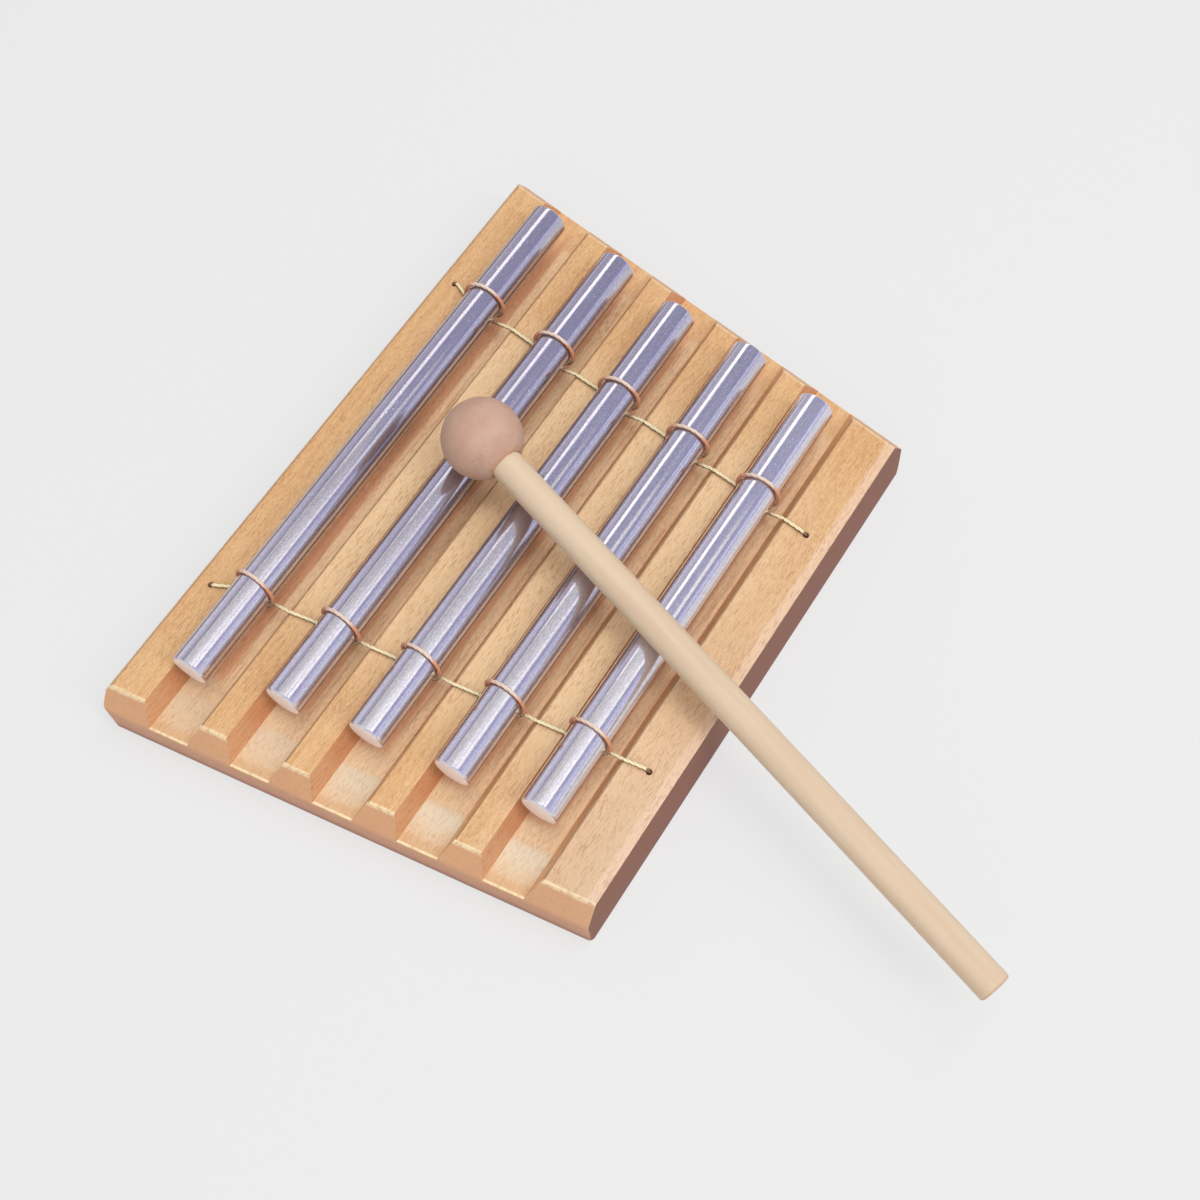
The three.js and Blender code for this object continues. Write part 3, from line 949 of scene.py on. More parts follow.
@dataclass(frozen=True)
class CordFinish:
    """Fine twisted cord: straw on the board, rust round a rod, a painted highlight on top of it, and
    painted shade on its underside, between its plies, where it dips and at the holes.
    """

    rest: float
    crown: float
    holes: tuple[tuple[float, float], ...]
    straw: Colour = tint(255, 242, 198)
    rust: Colour = tint(222, 136, 100)
    # Painted highlight on top of the loops.
    lit_pale: Colour = tint(246, 226, 210)
    # Darker brown for the fibres and for painted shade.
    fibre_and_shade_brown: Colour = tint(150, 88, 54)
    # Painted shade at the holes and under the cord.
    deep_shade_brown: Colour = tint(96, 44, 34)

    def material(self) -> bpy.types.Material:
        """Puts the cord together.

        Returns:
            The finished material.
        """
        recipe = Recipe("twisted_cord")
        x, y, z = recipe.parts(recipe.coordinates)
        fibres = recipe.grain(0.12, 0.12, 3.0, 0.6)
        crest = recipe.attribute("crest")
        _, _, normal_z = recipe.normal()
        on_rod = z.rise(self.rest + 1.5 * MM, self.rest + 4 * MM)
        # Painted shade: the cord darkens where it dips below its height on the board.
        dip_shade = z.rise(self.rest - 0.15 * MM, self.rest - 1.1 * MM)
        # Painted highlight: the cord is paler over the top of a rod.
        on_top = z.rise(self.crown - 3.0 * MM, self.crown - 0.8 * MM)
        # Painted shade: the cord's underside is darker.
        underside_shade = normal_z.rise(0.6, 0.1)
        # Darker between the plies as painted shade, with the fibres and the painted underside shade.
        fibres_and_shade = (1 - crest) * 0.15 + fibres.rise(0.5, 0.75) * 0.1 + underside_shade * (0.6 - 0.35 * on_rod)
        layers = [
            (0.85 * on_rod, self.rust),
            (0.75 * dip_shade, self.fibre_and_shade_brown),
            (0.85 * on_top, self.lit_pale),
            (fibres_and_shade, self.fibre_and_shade_brown),
            (underside_shade * (1 - on_rod) * 0.6, self.deep_shade_brown),
        ]
        # Painted shade: the cord is dark where it goes into a hole.
        for hole_x, hole_y in self.holes:
            hole_shade = abs(x - hole_x).rise(1.2 * MM, 0.6 * MM) * abs(y - hole_y).rise(1.6 * MM, 1.2 * MM)
            layers.append((0.85 * hole_shade, self.deep_shade_brown))
        return recipe.finish(
            Base_Color=recipe.layered(self.straw, *layers),
            Roughness=0.62 + 0.2 * fibres,
            Normal=recipe.bump(fibres, 0.05 * MM, 0.6),
            Specular_IOR_Level=0.3,
            Sheen_Weight=0.15,
        )


@dataclass(frozen=True)
class DowelFinish:
    """Pale sanded dowel: cream with faint pinkish grain along the handle and a darker sawn butt."""

    head: Vector
    axis: Vector
    length: float
    cream: Colour = tint(222, 199, 171)
    rosy: Colour = tint(214, 184, 156)
    butt_tan: Colour = tint(205, 172, 145)

    def material(self) -> bpy.types.Material:
        """Puts the dowel together.

        Returns:
            The finished material.
        """
        recipe = Recipe("pale_dowel")
        side = self.axis.cross(UP).normalized()
        along = recipe.along(self.axis, self.head)
        grain_place = recipe.node(
            "ShaderNodeCombineXYZ",
            None,
            {
                0: recipe.along(side, self.head),
                1: along,
                2: recipe.along(side.cross(self.axis), self.head),
            },
        ).outputs[0]
        grain = recipe.grain(3.2, 60, 2.0, 0.5, grain_place)
        pores = recipe.grain(0.25, 2.6, 1.0, 0.5, grain_place)
        butt = along.rise(self.length - 1.1 * MM, self.length - 0.2 * MM)
        tone = recipe.layered(
            self.cream,
            (grain.rise(0.35, 0.75) * 0.7, self.rosy),
            (pores.rise(0.6, 0.75) * 0.3, self.rosy),
            (butt * (0.75 + 0.25 * grain), self.butt_tan),
        )
        return recipe.finish(
            Base_Color=tone,
            Roughness=0.42 + 0.12 * grain + 0.2 * butt,
            Normal=recipe.bump(0.5 * grain + 0.5 * pores, 0.03 * MM, 0.4),
            Specular_IOR_Level=0.35,
        )


@dataclass(frozen=True)
class BallFinish:
    """Turned beech ball: matte pinkish tan with small dark pores, and fresh wood at the chipped bore."""

    centre: Vector
    axis: Vector
    mouth: float
    tan: Colour = tint(201, 166, 146)
    rose: Colour = tint(195, 156, 136)
    pore_brown: Colour = tint(156, 110, 86)
    chip_orange: Colour = tint(208, 142, 88)

    def material(self) -> bpy.types.Material:
        """Puts the ball's wood together.

        Returns:
            The finished material.
        """
        recipe = Recipe("turned_ball")
        figure = recipe.noise((5 * MM, 9 * MM, 7 * MM), 3.0, 0.55)
        pores = recipe.noise((0.34 * MM, 0.34 * MM, 0.55 * MM), 1.0, 0.5)
        pore_patches = recipe.grain(4, 4, 1.0, 0.5)
        along = recipe.along(self.axis, self.centre)
        chips = recipe.grain(1.1, 1.1, 2.0, 0.6)
        at_mouth = along.rise(self.mouth - 1.3 * MM, self.mouth - 0.1 * MM) * chips.rise(0.42, 0.6)
        pitted = pores.rise(0.66, 0.74) * pore_patches.rise(0.42, 0.6)
        tone = recipe.layered(
            self.tan,
            (figure.rise(0.3, 0.7), self.rose),
            (pitted * 0.8, self.pore_brown),
            (at_mouth * 0.8, self.chip_orange),
        )
        return recipe.finish(
            Base_Color=tone,
            Roughness=0.62 + 0.15 * figure,
            Normal=recipe.bump(0.6 * (1 - pitted) + 0.4 * pores, 0.05 * MM, 0.5),
            Specular_IOR_Level=0.3,
        )


@dataclass
class Board:
    """The tapered beech board with its grooves, bevelled ends, cord holes and knot pockets.

    Attributes of wear go from 0 to 1, each as a pair for the front and the back.
    """

    plan: Plan
    arris: float = 0.5 * MM
    foot_radius: float = 5 * MM
    foot_facets: int = 4
    rim: float = 0.2 * MM
    snug: float = 0.25 * MM
    flat_angle: float = math.radians(0.5)
    sharp_angle: float = math.radians(20)
    tilt_slack: float = 0.02
    steep: float = 0.5
    corner_x: tuple[float, float] = (0.16, 0.995)
    corner_y: float = 0.05
    wear_reach: float = 1.2 * MM
    wear_drop: float = 1 * MM
    end_wear: tuple[float, float] = (1.0, 0.6)
    bevel_wear: tuple[float, float] = (0.8, 0.5)
    top_wear: tuple[float, float] = (0.55, 0.25)
    low_wear: tuple[float, float] = (0.12, 0.12)
    front_share: float = 0.4
    corner_segments: int = 10
    arris_segments: int = 3
    rim_segments: int = 2
    hole_sides: int = 28
    pocket_sides: int = 40
    cut_margin: float = 2 * MM

    def build(self) -> bpy.types.Object:
        """Shapes, dresses and seats the board.

        Returns:
            The board's piece.
        """
        piece = add_piece("beech_board", self._blank())
        grooves = [self._groove_cutter(index) for index in range(ROD_COUNT)]
        plan = self.plan
        pockets = [self._pin(x, y, plan.pocket_radius, plan.pocket_depth, self.pocket_sides)
                   for x, y in self._hole_places()]
        through = plan.thickness + self.cut_margin
        holes = [self._pin(x, y, plan.hole_radius - self.snug, through, self.hole_sides)
                 for x, y in self._hole_places()]
        self._cut(piece, grooves + pockets)
        self._cut(piece, holes)
        self._ease(piece)
        piece.data.materials.append(BeechFinish(self.plan).material())
        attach(piece, "base")
        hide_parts("base_board")
        return piece

    def _blank(self) -> bmesh.types.BMesh:
        """The tapered blank with round corners, bevelled ends and eased sides.

        Returns:
            The blank as a bmesh.
        """
        plan = self.plan
        run = plan.bevel_run / plan.outward(Side.BACK).y
        corners = []
        for x in (plan.left, plan.right):
            half = plan.half_length.at(x) + run
            corners += [Vector((x, -half, 0)), Vector((x, half, 0))]
        mesh = bmesh.new()
        ordered = [corners[0], corners[2], corners[3], corners[1]]
        bottom = mesh.faces.new([mesh.verts.new(corner) for corner in ordered])
        pull(mesh, bottom, UP * plan.thickness)
        uprights = [
            edge for edge in mesh.edges if abs(edge.verts[0].co.z - edge.verts[1].co.z) > plan.floor
        ]
        round_edges(mesh, uprights, plan.corner_radius, self.corner_segments)
        bmesh.ops.recalc_face_normals(mesh, faces=mesh.faces[:])
        for end in Side:
            edge_point = Vector((0, end.value * plan.half_length.at(0), plan.thickness))
            slope = plan.outward(end) * plan.groove_depth + UP * plan.bevel_run
            self._slice(mesh, edge_point, slope)
            self._round_foot(mesh, end, slope.normalized())
        left_edge = Vector((plan.left + plan.left_chamfer, 0, plan.thickness))
        self._slice(mesh, left_edge, Vector((-1, 0, 1)))
        right_edge = Vector((plan.right - plan.right_lean, 0, plan.thickness))
        self._slice(mesh, right_edge, Vector((plan.thickness - plan.right_foot, 0, plan.right_lean)))
        return mesh

    def _round_foot(self, mesh: bmesh.types.BMesh, end: Side, slope: Vector) -> None:
        """Rounds the lower edge of an end's bevel with a few narrow facets.

        Args:
            mesh: The blank.
            end: Which end.
            slope: The bevel's normal.
        """
        plan = self.plan
        outward = plan.outward(end)
        foot = Vector((0, end.value * plan.half_length.at(0), plan.floor)) + outward * plan.bevel_run
        centre = foot - (slope + outward) * self.foot_radius / (1 + slope.dot(outward))
        for step in range(1, self.foot_facets):
            normal = slope.lerp(outward, step / self.foot_facets).normalized()
            self._slice(mesh, centre + normal * self.foot_radius, normal)

    def _slice(self, mesh: bmesh.types.BMesh, point: Vector, outward: Vector) -> None:
        """Cuts off what lies outside a plane and closes the cut.

        Args:
            mesh: The bmesh to cut.
            point: A point on the plane.
            outward: The direction of what is cut off.
        """
        geometry = mesh.verts[:] + mesh.edges[:] + mesh.faces[:]
        made = bmesh.ops.bisect_plane(
            mesh, geom=geometry, plane_co=point, plane_no=outward.normalized(), clear_outer=True,
        )
        edges = [item for item in made["geom_cut"] if isinstance(item, bmesh.types.BMEdge)]
        bmesh.ops.holes_fill(mesh, edges=edges, sides=0)
        bmesh.ops.recalc_face_normals(mesh, faces=mesh.faces[:])

    def _groove_cutter(self, index: int) -> bmesh.types.BMesh:
        """The bar that cuts one groove.

        Args:
            index: The groove's number from the left, from 0.

        Returns:
            The bar as a bmesh.
        """
        plan = self.plan
        x = plan.groove(index)
        upper = plan.groove_width / 2
        lower = upper - plan.wall_run
        flare = plan.wall_run / plan.groove_depth * self.cut_margin
        top = plan.thickness + self.cut_margin
        reach = plan.half_length.at(plan.left) + plan.bevel_run + self.cut_margin
        outline = [(-lower, plan.floor), (lower, plan.floor), (upper + flare, top), (-upper - flare, top)]
        mesh = bmesh.new()
        front = mesh.faces.new([mesh.verts.new((x + across, -reach, z)) for across, z in outline])
        pull(mesh, front, Vector((0, 2 * reach, 0)))
        bmesh.ops.recalc_face_normals(mesh, faces=mesh.faces[:])
        return mesh

    def _hole_places(self) -> list[tuple[float, float]]:
        """X and Y of the four cord holes."""
        return [(hole.x, self.plan.hole_y(hole, side)) for side in Side for hole in self.plan.holes]

    def _pin(self, x: float, y: float, radius: float, top: float, sides: int) -> bmesh.types.BMesh:
        """A round cutter that stands from below the board.

        Args:
            x: Place across the board.
            y: Place along the board.
            radius: The cutter's radius.
            top: Height of its top.
            sides: Facets of the round.

        Returns:
            The cutter as a bmesh.
        """
        mesh = bmesh.new()
        height = top + self.cut_margin
        bmesh.ops.create_cone(
            mesh, cap_ends=True, segments=sides, radius1=radius, radius2=radius, depth=height,
            matrix=Matrix.Translation((x, y, top - height / 2)),
        )
        return mesh

    def _cut(self, piece: bpy.types.Object, cutters: Iterable[bmesh.types.BMesh]) -> None:
        """Takes cutters that don't touch each other out of the board.

        Args:
            piece: The board.
            cutters: The cutters, which are used up.
        """
        joined = bmesh.new()
        for cutter in cutters:
            data = bpy.data.meshes.new("cutter")
            cutter.to_mesh(data)
            cutter.free()
            joined.from_mesh(data)
            bpy.data.meshes.remove(data)
        tool = add_piece("cutter", joined)
        cut = piece.modifiers.new("cut", "BOOLEAN")
        cut.operation = "DIFFERENCE"
        cut.solver = "EXACT"
        cut.object = tool
        graph = bpy.context.evaluated_depsgraph_get()
        shaped = bpy.data.meshes.new_from_object(piece.evaluated_get(graph))
        piece.modifiers.clear()
        piece.data = shaped
        bpy.data.objects.remove(tool)

    def _ease(self, piece: bpy.types.Object) -> None:
        """Rounds the board's arrises and notes where they are worn.

        Args:
            piece: The board, cut to shape.
        """
        mesh = bmesh.new()
        mesh.from_mesh(piece.data)
        bmesh.ops.remove_doubles(mesh, verts=mesh.verts[:], dist=WELD)
        bmesh.ops.dissolve_limit(
            mesh, angle_limit=self.flat_angle, verts=mesh.verts[:], edges=mesh.edges[:],
        )
        worn = mesh.faces.layers.float.new("worn")
        for face in mesh.faces:
            face.smooth = self._rounded(face)
        arrises = [edge for edge in mesh.edges if self._sharp(edge) and not self._on_rim(edge)]
        for face in round_edges(mesh, arrises, self.arris, self.arris_segments):
            face[worn] = self._wear(face)
        rims = [edge for edge in mesh.edges if self._sharp(edge) and self._on_rim(edge)]
        round_edges(mesh, rims, self.rim, self.rim_segments)
        mesh.to_mesh(piece.data)
        mesh.free()

    def _sharp(self, edge: bmesh.types.BMEdge) -> bool:
        """True for an outer corner that is sharp enough to be an arris."""
        return edge.is_manifold and edge.is_convex and edge.calc_face_angle() > self.sharp_angle

    def _rounded(self, face: bmesh.types.BMFace) -> bool:
        """True for a facet of a bevel's rounded foot or of an upright corner."""
        plan = self.plan
        normal = face.normal
        bevel_rise = plan.bevel_run / math.hypot(plan.bevel_run, plan.groove_depth)
        slack = self.tilt_slack
        on_foot = slack < normal.z < bevel_rise - slack and abs(normal.y) > self.steep
        least, most = self.corner_x
        turned = least < abs(normal.x) < most and abs(normal.y) > self.corner_y
        return on_foot or (turned and abs(normal.z) < slack)

    def _on_rim(self, edge: bmesh.types.BMEdge) -> bool:
        """True on the mouth of a cord hole or a knot pocket."""
        middle = (edge.verts[0].co + edge.verts[1].co) / 2
        reach = self.plan.pocket_radius + self.rim
        return any(math.hypot(middle.x - x, middle.y - y) < reach for x, y in self._hole_places())

    def _wear(self, face: bmesh.types.BMFace) -> float:
        """How worn an arris is, from 0 to 1: most at the front, where hands and rods rub it; its pale
        colour is also a painted edge highlight.
        """
        plan = self.plan
        centre = face.calc_center_median()
        half_length = plan.half_length.at(centre.x)
        past_end = abs(centre.y) - half_length
        on_top = centre.z > plan.thickness - self.wear_reach
        on_bevel = past_end > self.wear_reach and plan.floor - self.wear_drop < centre.z < plan.thickness
        behind = centre.y >= 0
        if on_top and abs(past_end) < self.wear_reach:
            return self.end_wear[behind]
        if on_bevel:
            return self.bevel_wear[behind]
        if on_top:
            return self.top_wear[centre.y >= -self.front_share * half_length]
        return self.low_wear[behind]


@dataclass
class ChimeRod:
    """One drawn metal rod with sawn, lightly chamfered ends."""

    place: RodPlace
    chamfer: float = 0.5 * MM
    face_round: float = 0.1 * MM
    face_drop: float = 0.03 * MM
    rim_inset: float = 0.05 * MM
    rim_drop: float = 0.06 * MM
    smooth_angle: float = math.radians(32)
    sides: int = 96

    def build(self) -> bpy.types.Object:
        """Turns, dresses and seats the rod.

        Returns:
            The rod's piece.
        """
        radius = self.place.radius
        half = self.place.length / 2
        flat = radius - self.chamfer
        outline = [
            (0.0, -half),
            (flat - self.face_round, -half),
            (flat, -half + self.face_drop),
            (radius - self.rim_inset, -half + self.chamfer - self.rim_drop),
            (radius, -half + self.chamfer + self.face_round),
            (radius, -half + 2 * self.chamfer),
        ]
        profile = outline + [(r, -along) for r, along in reversed(outline)]
        mesh = spun(profile, self.sides)
        bmesh.ops.translate(mesh, verts=mesh.verts[:], vec=self.place.centre)
        piece = add_piece(f"drawn_rod_{self.place.number}", mesh, self.smooth_angle)
        piece.data.materials.append(DrawnMetalFinish(self.place.number).material())
        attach(piece, f"rod_{self.place.number}")
        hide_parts(f"chime_rod_{self.place.number}")
        return piece


@dataclass(frozen=True)
class Stretch:
    """A part of a sling's route with one holder."""

    holder: Holder
    rod: Optional[RodPlace]
    points: list[Vector]


@dataclass
class Sling:
    """One twisted cord from knot to knot: over the board and once round each rod."""

    plan: Plan
    side: Side
    loop_slide: float = 1.5 * MM
    lay: float = 4.2 * MM
    ply_radius: float = 0.5 * MM
    section_sides: int = 20
    ring_step: float = 0.4 * MM
    loop_steps: int = 48
    bend_steps: int = 8
    easing_rounds: int = 4

    @property
    def node(self) -> str:
        """The CAD node that the sling stands for."""
        return f"{self.side.name.lower()}_cord"

    @property
    def strand_height(self) -> float:
        """Height of the cord where it crosses the board."""
        return self.plan.thickness + self.plan.touch_gap + self.plan.cord_radius

    @property
    def crown(self) -> float:
        """Height of the cord's back where it crosses a rod."""
        rod = self.plan.rods[0]
        return rod.centre.z + rod.radius + self.plan.touch_gap + self.plan.cord_diameter

    def build(self) -> list[bpy.types.Object]:
        """Twists, dresses and seats the sling.

        Returns:
            The sling's pieces: what lies on the board, and each rod's loop and two links.
        """
        holes = tuple((hole.x, self.plan.hole_y(hole, self.side)) for hole in self.plan.holes)
        finish = CordFinish(self.strand_height, self.crown, holes).material()
        stretches = self._stretches()
        rings = self._rings(stretches)
        on_board = bmesh.new()
        pieces = []
        entered = set()
        for stretch, run in zip(stretches, rings):
            if stretch.holder is Holder.BOARD:
                self._sweep(on_board, run)
                continue
            number = stretch.rod.number
            mesh = bmesh.new()
            self._sweep(mesh, run)
            if stretch.holder is Holder.ROD:
                piece = add_piece(f"{self.node}_loop_{number}", mesh, ALL_SMOOTH)
                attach(piece, f"rod_{number}")
            else:
                word = "out" if number in entered else "in"
                entered.add(number)
                piece = add_piece(f"{self.node}_link_{word}_{number}", mesh, ALL_SMOOTH)
                ends = (run[0].translation, run[-1].translation)
                start, end = ends if word == "in" else reversed(ends)
                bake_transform(piece)
            pieces.append(piece)
        seat = add_piece(f"{self.node}_seat", on_board, ALL_SMOOTH)
        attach(seat, "base")
        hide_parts(self.node)
        pieces.append(seat)
        for piece in pieces:
            piece.data.materials.append(finish)
        return pieces

    def _knot(self, x: float, y: float) -> list[Vector]:
        """The stopper knot in a pocket: the tail winds down round the cord, tucks in and turns up.

        Args:
            x: Place of the hole across the board.
            y: Place of the hole along the board.

        Returns:
            The route from the tail's end to the cord's start.
        """
        plan = self.plan
        pitch = plan.strand_pitch
        top = plan.knot_top
        bottom = top - plan.knot_turns * pitch
        points = [Vector((x + pitch, y - plan.cord_diameter, top + plan.tail_rise))]
        for step in range(plan.knot_turns * self.loop_steps + 1):
            turn = step / self.loop_steps
            angle = FULL_TURN * turn
            points.append(Vector((
                x + pitch * math.cos(angle), y + pitch * math.sin(angle), top - pitch * turn,
            )))
        tuck_steps = self.loop_steps // 2
        for step in range(1, tuck_steps + 1):
            share = step / tuck_steps
            reach = pitch * math.cos(QUARTER_TURN * share)
            angle = math.pi * share
            drop = plan.knot_tuck * math.sin(math.pi * share)
            points.append(Vector((x + reach * math.cos(angle), y + reach * math.sin(angle), bottom - drop)))
        points.append(Vector((x, y, bottom + plan.cord_diameter)))
        return points

    def _end(self, hole: CordHole) -> list[Vector]:
        """The cord's end from its knot, up its hole and round the mouth on to the board.

        Args:
            hole: The hole that the end goes down.

        Returns:
            The end's route.
        """
        y = self.plan.hole_y(hole, self.side)
        points = self._knot(hole.x, y)
        bend = self.plan.hole_radius
        for step in range(self.bend_steps + 1):
            angle = QUARTER_TURN * step / self.bend_steps
            points.append(Vector((
                hole.x + hole.ahead * bend * (1 - math.cos(angle)),
                y,
                self.strand_height - bend * (1 - math.sin(angle)),
            )))
        return points

    def _loop(self, index: int) -> tuple[Vector, list[Vector], Vector]:
        """One rod's loop: in over the groove's left edge, once round the rod, out over the right edge.

        Args:
            index: The rod's number from the left, from 0.

        Returns:
            The point on the left edge, the points round the rod and the point on the right edge.
        """
        rod = self.plan.rods[index]
        half = self.plan.groove_width / 2
        left_edge = self.plan.groove(index) - half
        right_edge = self.plan.groove(index) + half
        wrap = rod.radius + self.plan.touch_gap + self.plan.cord_radius
        fall = self.strand_height - rod.centre.z

        def tangent_angle(edge: float, sense: int) -> float:
            """Where the straight run from an edge meets the loop."""
            run = edge - rod.centre.x
            return math.atan2(fall, run) + sense * math.acos(wrap / math.hypot(run, fall))

        start = tangent_angle(left_edge, 1)
        end = tangent_angle(right_edge, -1) + FULL_TURN
        turns = (end - start) / FULL_TURN
        lap = self.plan.strand_pitch * turns
        middle = self.plan.sling_y(rod.centre.x, self.side)

        def y_at(share: float) -> float:
            """Y along the loop, which laps its start and has slid back over the top of the rod."""
            slide = self.loop_slide * math.sin(math.pi * share) ** 2
            return middle - self.side.value * lap * (share - 0.5) + slide

        steps = math.ceil(self.loop_steps * turns)
        points = []
        for step in range(steps + 1):
            share = step / steps
            angle = start + (end - start) * share
            points.append(Vector((
                rod.centre.x + wrap * math.cos(angle), y_at(share), rod.centre.z + wrap * math.sin(angle),
            )))
        first = Vector((left_edge, y_at(0), self.strand_height))
        last = Vector((right_edge, y_at(1), self.strand_height))
        return first, points, last

    def _stretches(self) -> list[Stretch]:
        """Cuts the whole route where its holder changes."""
        left_hole, right_hole = self.plan.holes
        on_board = self._end(left_hole)
        stretches = []
        for index, rod in enumerate(self.plan.rods):
            first, round_rod, last = self._loop(index)
            stretches.append(Stretch(Holder.BOARD, None, on_board + [first]))
            stretches.append(Stretch(Holder.LINK, rod, [first, round_rod[0]]))
            stretches.append(Stretch(Holder.ROD, rod, round_rod))
            stretches.append(Stretch(Holder.LINK, rod, [round_rod[-1], last]))
            on_board = [last]
        on_board += reversed(self._end(right_hole))
        stretches.append(Stretch(Holder.BOARD, None, on_board))
        return stretches

    def _even(self, points: Sequence[Vector]) -> list[Vector]:
        """A route as evenly spaced points, both ends kept."""
        lengths = [0.0]
        for before, after in zip(points, points[1:]):
            lengths.append(lengths[-1] + (after - before).length)
        count = max(2, math.ceil(lengths[-1] / self.ring_step))
        spaced = []
        row = 1
        for step in range(count + 1):
            target = lengths[-1] * step / count
            while row < len(points) - 1 and lengths[row] < target:
                row += 1
            share = (target - lengths[row - 1]) / (lengths[row] - lengths[row - 1])
            spaced.append(points[row - 1].lerp(points[row], share))
        return spaced

    def _rings(self, stretches: Sequence[Stretch]) -> list[list[Matrix]]:
        """Places the cord's section along the route, turning with the lay.

        Args:
            stretches: The route's stretches in order.

        Returns:
            For each stretch, the section's places: neighbours share the place where they meet.
        """
        route: list[Vector] = []
        spans = []
        for stretch in stretches:
            spaced = self._even(stretch.points)
            begin = max(0, len(route) - 1)
            route += spaced if not route else spaced[1:]
            spans.append((begin, len(route) - 1))
        last = len(route) - 1
        for _ in range(self.easing_rounds):
            eased = [(route[i - 1] + 2 * route[i] + route[i + 1]) / 4 for i in range(1, last)]
            route = [route[0], *eased, route[last]]
        aside = UP.copy()
        travelled = 0.0
        places = []
        for row, point in enumerate(route):
            tangent = (route[min(row + 1, last)] - route[max(row - 1, 0)]).normalized()
            aside = (aside - aside.dot(tangent) * tangent).normalized()
            travelled += (point - route[max(row - 1, 0)]).length
            turned = Matrix.Rotation(FULL_TURN * travelled / self.lay, 3, tangent) @ aside
            axes = Matrix((turned, tangent.cross(turned), tangent)).transposed().to_4x4()
            places.append(Matrix.Translation(point) @ axes)
        return [places[begin:end + 1] for begin, end in spans]

    def _sweep(self, mesh: bmesh.types.BMesh, places: Sequence[Matrix]) -> None:
        """Draws the two-ply section along its places, closed at both ends.

        Args:
            mesh: The bmesh that takes the new skin.
            places: The section's places in order.
        """
        crest = mesh.verts.layers.float.get("crest") or mesh.verts.layers.float.new("crest")
        ring = bmesh.ops.create_circle(mesh, segments=self.section_sides, radius=1.0)["verts"]
        offset = self.plan.cord_radius - self.ply_radius
        for vert in ring:
            direction = vert.co.normalized()
            inward = offset * abs(direction.x)
            reach = inward + math.sqrt(self.ply_radius ** 2 - (offset * direction.y) ** 2)
            vert.co = direction * reach
            vert[crest] = (reach - self.ply_radius) / offset
        bmesh.ops.transform(mesh, matrix=places[0], verts=ring)
        edges = list({edge for vert in ring for edge in vert.link_edges})
        borders = list(edges)
        for before, after in zip(places, places[1:]):
            made = bmesh.ops.extrude_edge_only(mesh, edges=edges)
            verts = {item for item in made["geom"] if isinstance(item, bmesh.types.BMVert)}
            edges = [item for item in made["geom"]
                     if isinstance(item, bmesh.types.BMEdge) and verts.issuperset(item.verts)]
            bmesh.ops.transform(mesh, matrix=after @ before.inverted(), verts=list(verts))
        borders += edges
        bmesh.ops.holes_fill(mesh, edges=borders, sides=0)
        bmesh.ops.recalc_face_normals(mesh, faces=mesh.faces[:])


